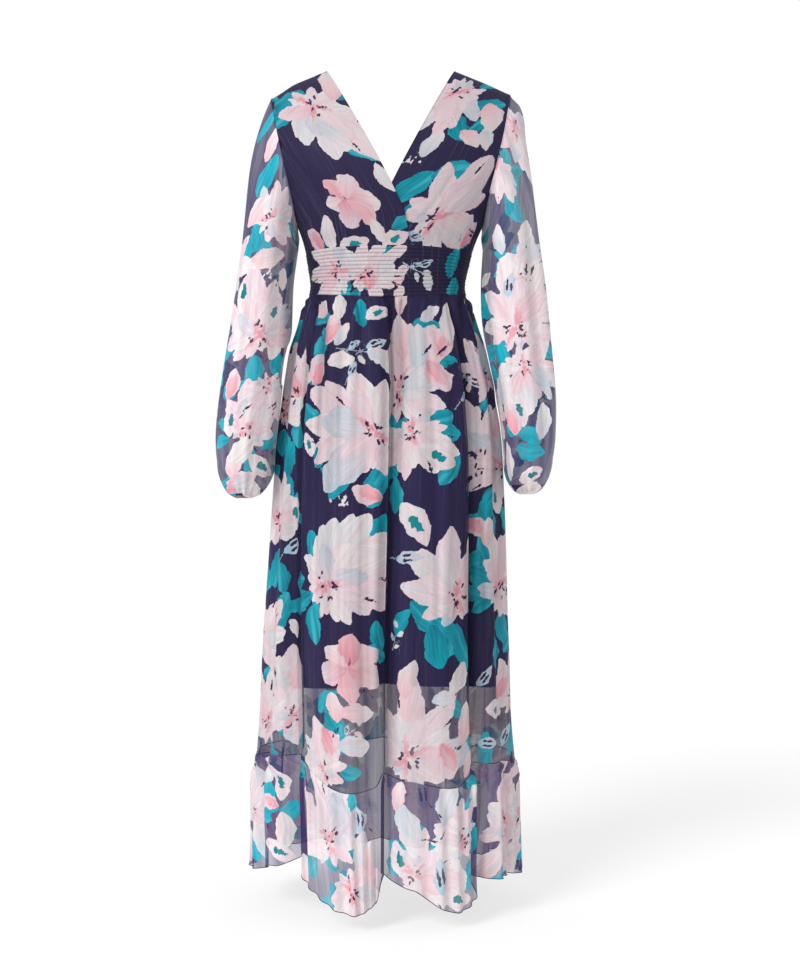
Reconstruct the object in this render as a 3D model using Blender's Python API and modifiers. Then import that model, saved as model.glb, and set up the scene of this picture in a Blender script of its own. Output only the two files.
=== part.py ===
"""Midi dress in its worn, hollow form: a V-neck wrap bodice of two fronts and a V back, a shirred
waistband, a gathered skirt over a shorter lining, a gathered ruffle at the hem, and long full sleeves
on narrow elastic cuffs.

Metres, +Z up. The front faces -Y and the wearer's right side is at -X. The origin lies midway between
the two shoulder seams, at half their height, where the wearer's shoulders hold the dress up.
"""
import math
from collections import namedtuple

import bmesh
import bpy

# Cloth and seams
WALL = 0.0012
SEAM_GAP = 0.0003
SHOULDER_GAP = 0.0012      # the wall leans here, so its inner edges are SEAM_GAP apart
SIDE_GAP = 0.0005
GATHERED_GAP = 0.0005      # above the edge of a gathered piece
SLEEVE_HEAD_GAP = 0.0008   # more room where the sleeve head turns down

# Shoulders and neck
NECK_HALF_WIDTH = 0.103
SHOULDER_HALF_WIDTH = 0.190
NECK_Z = 0.0208
SHOULDER_Z = -0.0144
BACK_V_Z = -0.190
FRONT_ROUNDING = 0.19      # drop below the shoulder seam at which the front is at its full depth
BACK_ROUNDING = 0.14
ROUNDING_POWER = 0.6
TORSO_POWER = 2.3          # squareness of the torso's section
UNDERLAP_DEPTH = 0.0021    # how far the covered front lies inside the top one
UNDERLAP_START = 0.030     # how far past the top edge it begins to dip
UNDERLAP_SPAN = 0.024      # and over what distance

# Levels of the seams
UNDERARM_Z = -0.227
WAIST_TOP_Z = -0.272
RIB_COUNT = 9
RIB_HEIGHT = 0.0013
BAND_WALL = 0.0012

Level = namedtuple("Level", "side front back")
WAIST_BOTTOM = Level(side=-0.338, front=-0.350, back=-0.343)
LINING_HEM = Level(side=-0.956, front=-0.941, back=-0.950)
HEM_Z = -1.265             # where the folds are at their full depth

Section = namedtuple("Section", "z half_width front back shift")
FIGURE = (
    Section(0.0208, 0.2400, 0.100, 0.092, 0.0000),
    Section(-0.0500, 0.2320, 0.106, 0.096, 0.0000),
    Section(-0.0900, 0.2150, 0.111, 0.100, 0.0000),
    Section(-0.1300, 0.1960, 0.116, 0.103, 0.0000),
    Section(-0.1700, 0.1750, 0.119, 0.103, -0.0005),
    Section(-0.2000, 0.1600, 0.120, 0.101, -0.0010),
    Section(-0.2270, 0.1475, 0.116, 0.098, -0.0010),
    Section(-0.2500, 0.1380, 0.109, 0.095, -0.0020),
    Section(-0.2720, 0.1315, 0.102, 0.092, -0.0030),
    Section(-0.3225, 0.1215, 0.093, 0.090, -0.0050),
    Section(-0.3380, 0.1240, 0.094, 0.092, -0.0050),
    Section(-0.3600, 0.1335, 0.100, 0.100, -0.0050),
    Section(-0.4220, 0.1525, 0.110, 0.113, -0.0040),
    Section(-0.4830, 0.1660, 0.117, 0.121, -0.0015),
    Section(-0.5820, 0.1785, 0.126, 0.128, -0.0025),
    Section(-0.6960, 0.1845, 0.137, 0.134, -0.0045),
    Section(-0.8500, 0.1910, 0.151, 0.142, -0.0080),
    Section(-1.0030, 0.1985, 0.165, 0.150, -0.0085),
    Section(-1.0800, 0.2050, 0.172, 0.156, -0.0080),
    Section(-1.1200, 0.2070, 0.175, 0.158, -0.0080),
    Section(-1.2000, 0.2090, 0.180, 0.162, -0.0080),
    Section(-1.3000, 0.2105, 0.184, 0.165, -0.0080),
)

# Rows of the bodice, from the shoulder seam down: its height at the armhole or side seam, and at the
# neckline or the wrap edge
BodiceRow = namedtuple("BodiceRow", "outer_z inner_z")
BODICE_ROWS = (
    BodiceRow(SHOULDER_Z, NECK_Z),
    BodiceRow(-0.0180, 0.0165),
    BodiceRow(-0.0450, -0.0150),
    BodiceRow(-0.0750, -0.0450),
    BodiceRow(-0.1050, -0.0750),
    BodiceRow(-0.1350, -0.1050),
    BodiceRow(-0.1620, -0.1320),
    BodiceRow(-0.1870, -0.1580),
    BodiceRow(-0.2080, -0.1813),
    BodiceRow(-0.2210, -0.2020),
    BodiceRow(UNDERARM_Z, -0.2223),
    BodiceRow(-0.2480, -0.2480),
    BodiceRow(WAIST_TOP_Z, WAIST_TOP_Z),
)
UNDERARM_ROW = 10
FRONT_COLUMNS = 11
BACK_FRACTIONS = (0.0, 0.18, 0.36, NECK_HALF_WIDTH / SHOULDER_HALF_WIDTH, 0.70, 0.84, 0.93, 0.98, 1.0)

Edge = namedtuple("Edge", "z x")
ARMHOLE = (
    Edge(SHOULDER_Z, SHOULDER_HALF_WIDTH),
    Edge(-0.050, 0.1845),
    Edge(-0.090, 0.1770),
    Edge(-0.130, 0.1675),
    Edge(-0.170, 0.1580),
    Edge(-0.200, 0.1515),
    Edge(UNDERARM_Z, 0.1475),
)
# Free edge of each front, with X growing away from its own shoulder
TOP_WRAP_EDGE = (
    Edge(NECK_Z, -NECK_HALF_WIDTH),
    Edge(-0.1813, 0.0026),
    Edge(-0.2223, 0.0224),
    Edge(WAIST_TOP_Z, 0.0330),
)
UNDER_WRAP_EDGE = (
    Edge(NECK_Z, -NECK_HALF_WIDTH),
    Edge(-0.1813, -0.0026),
    Edge(-0.2223, 0.0180),
    Edge(WAIST_TOP_Z, 0.0300),
)

# Folds of the skirt, from one side seam to the other. Angles are in degrees from the middle of the
# front or back, and a rise is positive on a crest and negative in a valley. The last two columns are
# the heights of the ruffle's seam and of the hem on that fold.
Fold = namedtuple("Fold", "waist_angle hem_angle waist_rise hem_rise seam_z hem_z")
FRONT_FOLDS = (
    Fold(-90.00, -90, -0.001, -0.004, -1.067, -1.243),
    Fold(-82.50, -77, 0.001, 0.004, -1.062, -1.240),
    Fold(-75.00, -63, -0.001, -0.009, -1.056, -1.232),
    Fold(-67.50, -51, 0.001, 0.006, -1.054, -1.220),
    Fold(-60.00, -40, -0.003, -0.030, -1.052, -1.204),
    Fold(-52.50, -36, -0.001, -0.012, -1.058, -1.238),
    Fold(-26.25, -11, 0.003, 0.013, -1.098, -1.274),
    Fold(-7.50, -4, -0.002, -0.006, -1.092, -1.262),
    Fold(0.00, -1, -0.008, -0.036, -1.073, -1.222),
    Fold(11.25, 12, 0.000, 0.000, -1.082, -1.240),
    Fold(26.25, 29, 0.003, 0.013, -1.093, -1.275),
    Fold(37.50, 39, 0.000, 0.002, -1.078, -1.264),
    Fold(45.00, 43, -0.004, -0.028, -1.063, -1.234),
    Fold(56.25, 53, 0.001, 0.007, -1.066, -1.240),
    Fold(67.50, 64, -0.001, -0.009, -1.068, -1.240),
    Fold(78.75, 77, 0.001, 0.004, -1.072, -1.248),
    Fold(90.00, 90, -0.001, -0.004, -1.074, -1.254),
)
BACK_FOLDS = (
    Fold(-90.0, -90, -0.001, -0.004, -1.074, -1.254),
    Fold(-76.5, -74, 0.001, 0.005, -1.072, -1.248),
    Fold(-63.0, -58, -0.002, -0.011, -1.066, -1.240),
    Fold(-49.5, -43, 0.001, 0.010, -1.078, -1.262),
    Fold(-36.0, -29, -0.003, -0.020, -1.068, -1.242),
    Fold(-18.0, -14, 0.002, 0.012, -1.080, -1.262),
    Fold(0.0, 2, -0.003, -0.018, -1.066, -1.238),
    Fold(18.0, 17, 0.002, 0.013, -1.078, -1.256),
    Fold(36.0, 31, -0.003, -0.021, -1.064, -1.232),
    Fold(49.5, 46, 0.001, 0.009, -1.070, -1.244),
    Fold(63.0, 60, -0.002, -0.012, -1.060, -1.228),
    Fold(76.5, 75, 0.001, 0.005, -1.064, -1.238),
    Fold(90.0, 90, -0.001, -0.004, -1.067, -1.243),
)
FOLD_START = 0.03          # share of the drop in which the folds begin below the waist
VALLEY_SHARPNESS = 0.8     # 0 for an even wave, 1 for broad crests with sharp valleys

# Gathers under the waistband and in the ruffle, by share of the piece's own height
Fade = namedtuple("Fade", "share amount")
SKIRT_GATHER = 0.0040
SKIRT_GATHER_FADE = (
    Fade(0.000, 0.05), Fade(0.014, 0.60), Fade(0.040, 1.00), Fade(0.080, 0.85), Fade(0.140, 0.55),
    Fade(0.230, 0.25), Fade(0.340, 0.00), Fade(1.000, 0.00),
)
SKIRT_ROWS = (0.0, 0.014, 0.040, 0.080, 0.140, 0.230, 0.340, 0.480, 0.640, 0.820, 1.0)
LINING_ROWS = (0.0, 0.02, 0.06, 0.16, 0.32, 0.52, 0.75, 1.0)
RUFFLE_ROWS = (0.0, 0.16, 0.50, 1.0)
RUFFLE_WAVE = 0.0045
RUFFLE_PUFF = 0.0040
RUFFLE_FADE = (Fade(0.0, 0.0), Fade(0.16, 1.0), Fade(0.50, 0.9), Fade(1.0, 1.0))
WAVES_PER_FOLD_COLUMN = 0.5
LINING_INSET = (
    Fade(0.0, 0.0018), Fade(0.02, 0.0062), Fade(0.06, 0.0070), Fade(0.18, 0.0060), Fade(0.42, 0.0042),
    Fade(1.0, 0.0040),
)
LINING_CREST_SHARE = 0.7

Half = namedtuple("Half", "name facing folds columns gather_degrees")
FRONT = Half("front", -90, FRONT_FOLDS, 48, 15.0)
BACK = Half("back", 90, BACK_FOLDS, 40, 18.0)
BAND_COLUMNS = {"front": 16, "back": 14}

# Sleeves below the armhole: outer and inner edge measured from the middle of the dress, the sleeve's
# middle from front to back, and half its depth
Sleeve = namedtuple("Sleeve", "z outer inner middle_y half_depth gather")
RIGHT_SLEEVE = (
    Sleeve(-0.2664, 0.2350, 0.1500, -0.0149, 0.052, 0.0),
    Sleeve(-0.3200, 0.2420, 0.1575, -0.0190, 0.050, 0.0),
    Sleeve(-0.3800, 0.2500, 0.1590, -0.0237, 0.050, 0.0),
    Sleeve(-0.4400, 0.2600, 0.1605, -0.0285, 0.050, 0.0),
    Sleeve(-0.5000, 0.2685, 0.1695, -0.0330, 0.050, 0.0),
    Sleeve(-0.5500, 0.2740, 0.1765, -0.0370, 0.050, 0.0),
    Sleeve(-0.5900, 0.2735, 0.1805, -0.0400, 0.048, 0.0005),
    Sleeve(-0.6150, 0.2700, 0.1855, -0.0420, 0.044, 0.0015),
    Sleeve(-0.6350, 0.2645, 0.1930, -0.0435, 0.037, 0.0020),
    Sleeve(-0.6460, 0.2575, 0.2035, -0.0445, 0.029, 0.0),
)
LEFT_SLEEVE = (
    Sleeve(-0.2664, 0.2370, 0.1500, -0.0149, 0.052, 0.0),
    Sleeve(-0.3200, 0.2450, 0.1460, -0.0190, 0.050, 0.0),
    Sleeve(-0.3800, 0.2510, 0.1470, -0.0237, 0.050, 0.0),
    Sleeve(-0.4400, 0.2560, 0.1570, -0.0285, 0.050, 0.0),
    Sleeve(-0.5000, 0.2610, 0.1700, -0.0330, 0.050, 0.0),
    Sleeve(-0.5500, 0.2600, 0.1745, -0.0370, 0.050, 0.0),
    Sleeve(-0.5900, 0.2570, 0.1775, -0.0400, 0.048, 0.0005),
    Sleeve(-0.6120, 0.2510, 0.1800, -0.0420, 0.044, 0.0015),
    Sleeve(-0.6300, 0.2430, 0.1840, -0.0435, 0.037, 0.0020),
    Sleeve(-0.6400, 0.2370, 0.1890, -0.0445, 0.029, 0.0),
)
SLEEVE_HEAD_ROWS = (0.0, 0.05, 0.20, 0.40, 0.60, 0.80)
SLEEVE_HEAD_PULL = 0.38    # length of the curve's handles, as a share of its chord
HEAD_TOP_ANGLE = 68        # degrees below level at which the sleeve leaves the shoulder
HEAD_UNDER_ANGLE = 84      # and the underarm
CUFF_HEIGHT = 0.010
CUFF_BULGE = 0.0008
CUFF_WALL = 0.0016
CUFF_ROWS = 2

Finish = namedtuple("Finish", "colour roughness")
FINISHES = {
    "bodice": Finish((0.045, 0.033, 0.105, 1.0), 0.62),
    "waistband": Finish((0.040, 0.030, 0.095, 1.0), 0.66),
    "chiffon": Finish((0.075, 0.060, 0.150, 1.0), 0.58),
    "lining": Finish((0.022, 0.016, 0.060, 1.0), 0.50),
    "elastic": Finish((0.050, 0.038, 0.110, 1.0), 0.70),
}


def mix(a, b, share):
    """Value at a share of the way from a to b."""
    return a + (b - a) * share


def read_table(rows, key, value, at):
    """Value of one column of a table, by straight lines between its rows, held at the ends."""
    keys = [getattr(row, key) for row in rows]
    if keys[0] > keys[-1]:
        rows = rows[::-1]
        keys = keys[::-1]
    if at <= keys[0]:
        return getattr(rows[0], value)
    for low, high in zip(rows, rows[1:]):
        start = getattr(low, key)
        end = getattr(high, key)
        if at <= end:
            return mix(getattr(low, value), getattr(high, value), (at - start) / (end - start))
    return getattr(rows[-1], value)


def smooth(share):
    """Share eased at both ends and held between 0 and 1."""
    held = min(max(share, 0.0), 1.0)
    return held * held * (3 - 2 * held)


def clear_scene():
    """Remove every object, so that the script can be run again."""
    for thing in list(bpy.data.objects):
        bpy.data.objects.remove(thing, do_unlink=True)


def make_material(name):
    """Principled material of one finish."""
    material = bpy.data.materials.new(name)
    material.use_nodes = True
    shader = material.node_tree.nodes["Principled BSDF"]
    shader.inputs["Base Color"].default_value = FINISHES[name].colour
    shader.inputs["Roughness"].default_value = FINISHES[name].roughness
    shader.inputs["Metallic"].default_value = 0.0
    return material


def cloth_mesh(name, columns, rows, place, closed):
    """Open sheet whose vertex in column i and row j, with row 0 at the top, stands at place(i, j).

    Columns run anticlockwise seen from above, so that the faces point outwards. A closed sheet is
    welded into a tube along its first and last columns.
    """
    sheet = bmesh.new()
    bmesh.ops.create_grid(sheet, x_segments=columns, y_segments=rows, size=1.0)
    for vertex in sheet.verts:
        i = round((vertex.co.x + 1) / 2 * columns)
        j = rows - round((vertex.co.y + 1) / 2 * rows)
        vertex.co = place(i, j)
    if closed:
        bmesh.ops.remove_doubles(sheet, verts=sheet.verts, dist=1e-6)
    mesh = bpy.data.meshes.new(name)
    sheet.to_mesh(mesh)
    sheet.free()
    mesh.shade_smooth()
    return mesh


def add_wall(thing, thickness, outwards=False, thinned=None):
    """Give a sheet its wall, on the inside unless outwards, thinner where the group's weight is low."""
    wall = thing.modifiers.new("wall", "SOLIDIFY")
    wall.thickness = thickness
    wall.offset = 1.0 if outwards else -1.0
    wall.use_quality_normals = True
    if thinned is not None:
        wall.vertex_group = "rib"
        wall.thickness_vertex_group = thinned


def add_piece(collection, name, finish, mesh):
    """Object for one piece of cloth, with its material."""
    thing = bpy.data.objects.new(name, mesh)
    thing.data.materials.append(bpy.data.materials.get(finish) or make_material(finish))
    collection.objects.link(thing)
    return thing


def shoulder_line(x):
    """Height of the shoulder seam above a distance from the middle."""
    share = (abs(x) - NECK_HALF_WIDTH) / (SHOULDER_HALF_WIDTH - NECK_HALF_WIDTH)
    return mix(NECK_Z, SHOULDER_Z, min(max(share, 0.0), 1.0))


def torso_depth(x, z, column, rounding):
    """Distance of the bodice from the plane of its side seams."""
    half_width = read_table(FIGURE, "z", "half_width", z)
    across = min(abs(x) / half_width, 1.0)
    section = (1 - across ** TORSO_POWER) ** (1 / TORSO_POWER)
    drop = min(max(shoulder_line(x) - z, 0.0) / rounding, 1.0)
    rounded = math.sin(drop * math.pi / 2) ** ROUNDING_POWER
    return read_table(FIGURE, "z", column, z) * section * rounded


def bodice_point(x, z, front):
    """Point of the bodice's outer surface."""
    gap = SHOULDER_GAP if z > UNDERARM_Z else SIDE_GAP
    shift = read_table(FIGURE, "z", "shift", z)
    if front:
        return (x + shift, -torso_depth(x, z, "front", FRONT_ROUNDING) - gap / 2, z)
    return (x + shift, torso_depth(x, z, "back", BACK_ROUNDING) + gap / 2, z)


def outer_edge(z):
    """Distance of the armhole or side seam from the middle, at a height."""
    if z >= UNDERARM_Z:
        return read_table(ARMHOLE, "z", "x", z)
    return read_table(FIGURE, "z", "half_width", z)


def bodice_height(row, x_share):
    """Height of a point of a bodice row, from its inner edge at 0 to its outer edge at 1."""
    line = BODICE_ROWS[row]
    raised = SEAM_GAP if row == len(BODICE_ROWS) - 1 else 0.0
    return mix(line.inner_z, line.outer_z, x_share) + raised


def add_bodice_fronts(collection):
    """The two fronts: the wearer's right lies on top, and the left passes under it."""
    rows = len(BODICE_ROWS) - 1

    def front(side, edge, depth_under):
        def place(i, j):
            step = i if side > 0 else FRONT_COLUMNS - i
            share = math.sin(step / FRONT_COLUMNS * math.pi / 2)
            z = bodice_height(j, share)
            inner = read_table(edge, "z", "x", BODICE_ROWS[j].inner_z)
            outer = outer_edge(BODICE_ROWS[j].outer_z)
            x = side * mix(-inner, outer, share)
            point = bodice_point(x, z, True)
            return (point[0], point[1] + depth_under(x, z), z)
        return place

    def under(x, z):
        covered = read_table(TOP_WRAP_EDGE, "z", "x", z) + UNDERLAP_START - x
        return UNDERLAP_DEPTH * smooth(covered / UNDERLAP_SPAN)

    sides = (
        ("bodice_front_right", -1, TOP_WRAP_EDGE, lambda x, z: 0.0),
        ("bodice_front_left", 1, UNDER_WRAP_EDGE, under),
    )
    for name, side, edge, depth_under in sides:
        mesh = cloth_mesh(name, FRONT_COLUMNS, rows, front(side, edge, depth_under), closed=False)
        add_wall(add_piece(collection, name, "bodice", mesh), WALL)


def add_bodice_back(collection):
    """The back, in one piece, with its V neckline."""
    fractions = [-f for f in reversed(BACK_FRACTIONS[1:])] + list(BACK_FRACTIONS)
    columns = len(fractions) - 1
    rows = len(BODICE_ROWS) - 1

    def place(i, j):
        fraction = -fractions[i]
        across = abs(fraction) * SHOULDER_HALF_WIDTH
        if across < NECK_HALF_WIDTH:
            top = mix(BACK_V_Z, NECK_Z, across / NECK_HALF_WIDTH)
        else:
            top = shoulder_line(across)
        bottom = WAIST_TOP_Z + SEAM_GAP
        level = BODICE_ROWS[j].outer_z
        share = (level - SHOULDER_Z) / (WAIST_TOP_Z - SHOULDER_Z)
        z = mix(top, bottom, share)
        return bodice_point(fraction * outer_edge(max(z, WAIST_TOP_Z)), z, False)

    mesh = cloth_mesh("bodice_back", columns, rows, place, closed=False)
    add_wall(add_piece(collection, "bodice_back", "bodice", mesh), WALL)


def fold_between(folds, angle):
    """The two rows of folds on each side of an angle at the waist, and the share of the way between.

    Returns the rows, the plain share, and the share eased so that crests are broader than valleys.
    """
    low, high = next(pair for pair in zip(folds, folds[1:]) if angle <= pair[1].waist_angle)
    share = (angle - low.waist_angle) / (high.waist_angle - low.waist_angle)
    even = (1 - math.cos(share * math.pi)) / 2
    if low.hem_rise < high.hem_rise:
        sharp = math.sin(share * math.pi / 2)
    else:
        sharp = 1 - math.cos(share * math.pi / 2)
    return low, high, share, mix(even, sharp, VALLEY_SHARPNESS)


def fold_at(folds, angle, drop):
    """Angle and rise of the skirt's folds, for an angle at the waist and a share of the drop."""
    low, high, share, eased = fold_between(folds, angle)
    turned = mix(angle, mix(low.hem_angle, high.hem_angle, share), drop)
    waist_rise = mix(low.waist_rise, high.waist_rise, eased) * min(drop / FOLD_START, 1.0)
    return turned, mix(waist_rise, mix(low.hem_rise, high.hem_rise, eased), drop)


def level_at(level, half, angle):
    """Height of a level seam at an angle from the middle of the front or back."""
    middle = level.front if half.facing < 0 else level.back
    return mix(level.side, middle, math.cos(math.radians(angle)) ** 2)


def folded_level(half, angle, column):
    """Height of the ruffle's seam or of the hem, which follow the folds."""
    low, high, _, eased = fold_between(half.folds, angle)
    return mix(getattr(low, column), getattr(high, column), eased)


def skirt_drop(z):
    """Share of the way from the waist to the hem."""
    top = WAIST_BOTTOM.side
    return min(max((top - z) / (top - HEM_Z), 0.0), 1.0)


def skirt_point(half, angle, z, outwards=0.0, crest_share=1.0):
    """Point at an angle and a height, moved outwards from the skirt's surface."""
    turned, rise = fold_at(half.folds, angle, skirt_drop(z))
    if rise > 0:
        rise *= crest_share
    azimuth = math.radians(half.facing + turned)
    width = read_table(FIGURE, "z", "half_width", z)
    depth = read_table(FIGURE, "z", half.name, z)
    normal = (math.cos(azimuth) / width, math.sin(azimuth) / depth)
    length = math.hypot(*normal)
    out = rise + outwards
    side = -1 if half.facing < 0 else 1
    x = width * math.cos(azimuth) + out * normal[0] / length
    y = depth * math.sin(azimuth) + out * normal[1] / length
    return (x + read_table(FIGURE, "z", "shift", z), y + side * SIDE_GAP / 2, z)


def add_waistband(collection, half):
    """Half of the waistband: plain inside, with a raised rib between each two rows of shirring."""
    name = "waistband_" + half.name
    columns = BAND_COLUMNS[half.name]
    rows = 2 * RIB_COUNT

    def place(i, j):
        angle = mix(-90, 90, i / columns)
        z = mix(WAIST_TOP_Z, level_at(WAIST_BOTTOM, half, angle), j / rows)
        azimuth = math.radians(half.facing + angle)
        width = read_table(FIGURE, "z", "half_width", z) - BAND_WALL
        depth = read_table(FIGURE, "z", half.name, z) - BAND_WALL
        side = -1 if half.facing < 0 else 1
        shift = read_table(FIGURE, "z", "shift", z)
        return (width * math.cos(azimuth) + shift, depth * math.sin(azimuth) + side * SIDE_GAP / 2, z)

    mesh = cloth_mesh(name, columns, rows, place, closed=False)
    thing = add_piece(collection, name, "waistband", mesh)
    ribs = thing.vertex_groups.new(name="rib")
    for vertex in mesh.vertices:
        row_from_bottom = vertex.index // (columns + 1)
        ribs.add([vertex.index], float(row_from_bottom % 2), "REPLACE")
    thickest = BAND_WALL + RIB_HEIGHT
    add_wall(thing, thickest, outwards=True, thinned=BAND_WALL / thickest)


def add_skirt(collection, half):
    """Half of the skirt, gathered into the waistband."""
    name = "skirt_" + half.name

    def place(i, j):
        angle = mix(-90, 90, i / half.columns)
        share = SKIRT_ROWS[j]
        z = mix(level_at(WAIST_BOTTOM, half, angle), folded_level(half, angle, "seam_z"), share)
        z -= GATHERED_GAP * (1 - share)
        wave = -math.cos((angle + 90) / half.gather_degrees * 2 * math.pi)
        lift = SKIRT_GATHER * read_table(SKIRT_GATHER_FADE, "share", "amount", share) * wave
        return skirt_point(half, angle, z, lift)

    mesh = cloth_mesh(name, half.columns, len(SKIRT_ROWS) - 1, place, closed=False)
    add_wall(add_piece(collection, name, "chiffon", mesh), WALL)


def add_lining(collection, half):
    """Half of the lining, inside the skirt and shorter than it."""
    name = "lining_" + half.name
    columns = half.columns // 2

    def place(i, j):
        angle = mix(-90, 90, i / columns)
        share = LINING_ROWS[j]
        z = mix(level_at(WAIST_BOTTOM, half, angle), level_at(LINING_HEM, half, angle), share)
        z -= GATHERED_GAP * (1 - share)
        inset = read_table(LINING_INSET, "share", "amount", share)
        return skirt_point(half, angle, z, -inset, LINING_CREST_SHARE)

    mesh = cloth_mesh(name, columns, len(LINING_ROWS) - 1, place, closed=False)
    add_wall(add_piece(collection, name, "lining", mesh), WALL)


def add_ruffle(collection, half):
    """Half of the ruffle, gathered onto the lower edge of the skirt."""
    name = "ruffle_" + half.name
    columns = half.columns * 2

    def seam_point(i):
        angle = mix(-90, 90, i / half.columns)
        return skirt_point(half, angle, folded_level(half, angle, "seam_z"))

    def place(i, j):
        angle = mix(-90, 90, i / columns)
        share = RUFFLE_ROWS[j]
        if j == 0:
            before = seam_point(i // 2)
            after = seam_point((i + 1) // 2)
            x, y, z = ((a + b) / 2 for a, b in zip(before, after))
            return (x, y, z - GATHERED_GAP)
        z = mix(folded_level(half, angle, "seam_z"), folded_level(half, angle, "hem_z"), share)
        wave = -math.cos(i * WAVES_PER_FOLD_COLUMN * math.pi)
        amount = read_table(RUFFLE_FADE, "share", "amount", share)
        return skirt_point(half, angle, z, (RUFFLE_PUFF + RUFFLE_WAVE * wave) * amount)

    mesh = cloth_mesh(name, columns, len(RUFFLE_ROWS) - 1, place, closed=False)
    add_wall(add_piece(collection, name, "chiffon", mesh), WALL)


def armhole_ring(side):
    """Points round one armhole, from the shoulder down the front to the underarm and up the back."""
    front = []
    back = []
    for row in BODICE_ROWS[:UNDERARM_ROW + 1]:
        x = side * outer_edge(row.outer_z)
        front.append(bodice_point(x, row.outer_z, True))
        back.append(bodice_point(x, row.outer_z, False))
    top = (front[0][0], 0.0, front[0][2])
    under = (front[-1][0], 0.0, front[-1][2])
    return [top] + front[1:-1] + [under] + back[-2:0:-1]


def ring_angles(ring):
    """Angle of each point of the armhole, 0 at the shoulder and 180 at the underarm, by its length."""
    half = len(ring) // 2
    lengths = [0.0]
    for a, b in zip(ring[:half], ring[1:half + 1]):
        lengths.append(lengths[-1] + math.dist(a, b))
    front = [180 * length / lengths[-1] for length in lengths]
    return front + [360 - angle for angle in front[-2:0:-1]]


def sleeve_section(side, row, angle, gather=0.0):
    """Point of a level section of a sleeve, with angle 0 outside, 90 in front and 180 inside."""
    middle = (row.outer + row.inner) / 2
    half_width = (row.outer - row.inner) / 2 + gather
    turn = math.radians(angle)
    x = side * (middle + half_width * math.cos(turn))
    return (x, row.middle_y - (row.half_depth + gather) * math.sin(turn), row.z)


def add_sleeve(collection, name, side, table):
    """A sleeve, from the armhole down to its gathered wrist, and the elastic cuff below it."""
    ring = armhole_ring(side)
    angles = ring_angles(ring)
    columns = len(ring)
    head = len(SLEEVE_HEAD_ROWS)
    rows = head + len(table) - 1
    slope = (table[1].outer - table[0].outer) / (table[0].z - table[1].z)

    def column(i):
        return i % columns if side < 0 else -i % columns

    def head_point(k, share):
        turn = math.radians(angles[k])
        top_weight = (1 + math.cos(turn)) / 2
        start = list(ring[k])
        start[0] += side * (SEAM_GAP + SLEEVE_HEAD_GAP * top_weight)
        end = sleeve_section(side, table[0], angles[k])
        chord = math.dist(start, end)
        fall = math.radians(mix(HEAD_UNDER_ANGLE, HEAD_TOP_ANGLE, top_weight))
        leave = (side * math.cos(fall), 0.0, -math.sin(fall))
        arrive = (side * slope, 0.0, -1.0)
        pull = chord * SLEEVE_HEAD_PULL
        first = [a + b * pull for a, b in zip(start, leave)]
        second = [a - b * pull for a, b in zip(end, arrive)]
        weights = ((1 - share) ** 3, 3 * share * (1 - share) ** 2, 3 * share ** 2 * (1 - share), share ** 3)
        return tuple(
            sum(weight * point[axis] for weight, point in zip(weights, (start, first, second, end)))
            for axis in range(3)
        )

    def place(i, j):
        k = column(i)
        if j < head:
            return head_point(k, SLEEVE_HEAD_ROWS[j])
        row = table[j - head]
        gather = row.gather if k % 2 else -row.gather
        return sleeve_section(side, row, angles[k], gather)

    mesh = cloth_mesh("sleeve_" + name, columns, rows, place, closed=True)
    add_wall(add_piece(collection, "sleeve_" + name, "chiffon", mesh), WALL)

    def cuff_place(i, j):
        share = j / CUFF_ROWS
        bulge = CUFF_BULGE * math.sin(share * math.pi)
        x, y, z = sleeve_section(side, table[-1], angles[column(i)], bulge)
        return (x, y, z - GATHERED_GAP - CUFF_HEIGHT * share)

    mesh = cloth_mesh("cuff_" + name, columns, CUFF_ROWS, cuff_place, closed=True)
    add_wall(add_piece(collection, "cuff_" + name, "elastic", mesh), CUFF_WALL)


def build():
    """Make every piece of the dress."""
    clear_scene()
    dress = bpy.data.collections.new("midi_dress")
    bpy.context.scene.collection.children.link(dress)
    add_bodice_fronts(dress)
    add_bodice_back(dress)
    for half in (FRONT, BACK):
        add_waistband(dress, half)
        add_skirt(dress, half)
        add_lining(dress, half)
        add_ruffle(dress, half)
    add_sleeve(dress, "right", -1, RIGHT_SLEEVE)
    add_sleeve(dress, "left", 1, LEFT_SLEEVE)


build()
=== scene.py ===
"""Looks of the midi dress: its cloth pieces as thin sheets with gathers, creases and rolled edges, the
painted flower print on sheer chiffon, and a plain pale studio.

Metres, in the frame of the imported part: +Z up, the front faces -Y, the wearer's right side is at -X and
the origin lies between the shoulder seams. Each sheet follows the outer face of the solid it replaces.
"""

import logging
import math
from dataclasses import dataclass, replace
from enum import Enum

import bmesh
import bpy
import numpy as np
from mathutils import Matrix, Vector
from mathutils.bvhtree import BVHTree


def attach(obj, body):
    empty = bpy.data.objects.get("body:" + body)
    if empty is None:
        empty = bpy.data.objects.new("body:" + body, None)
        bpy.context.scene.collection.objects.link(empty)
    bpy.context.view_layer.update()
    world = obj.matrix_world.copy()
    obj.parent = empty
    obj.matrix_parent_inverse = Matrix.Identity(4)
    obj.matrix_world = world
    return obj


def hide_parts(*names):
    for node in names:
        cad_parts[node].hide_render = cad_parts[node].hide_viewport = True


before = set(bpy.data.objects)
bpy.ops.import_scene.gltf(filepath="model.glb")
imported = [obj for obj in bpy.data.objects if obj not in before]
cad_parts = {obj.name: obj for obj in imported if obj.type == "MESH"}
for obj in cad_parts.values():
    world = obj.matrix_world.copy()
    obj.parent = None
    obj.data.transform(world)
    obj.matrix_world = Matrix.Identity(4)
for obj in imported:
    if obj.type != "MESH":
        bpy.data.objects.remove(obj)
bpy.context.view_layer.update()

log = logging.getLogger("midi_dress")

Array = np.ndarray
Colour = tuple[float, float, float]

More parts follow.
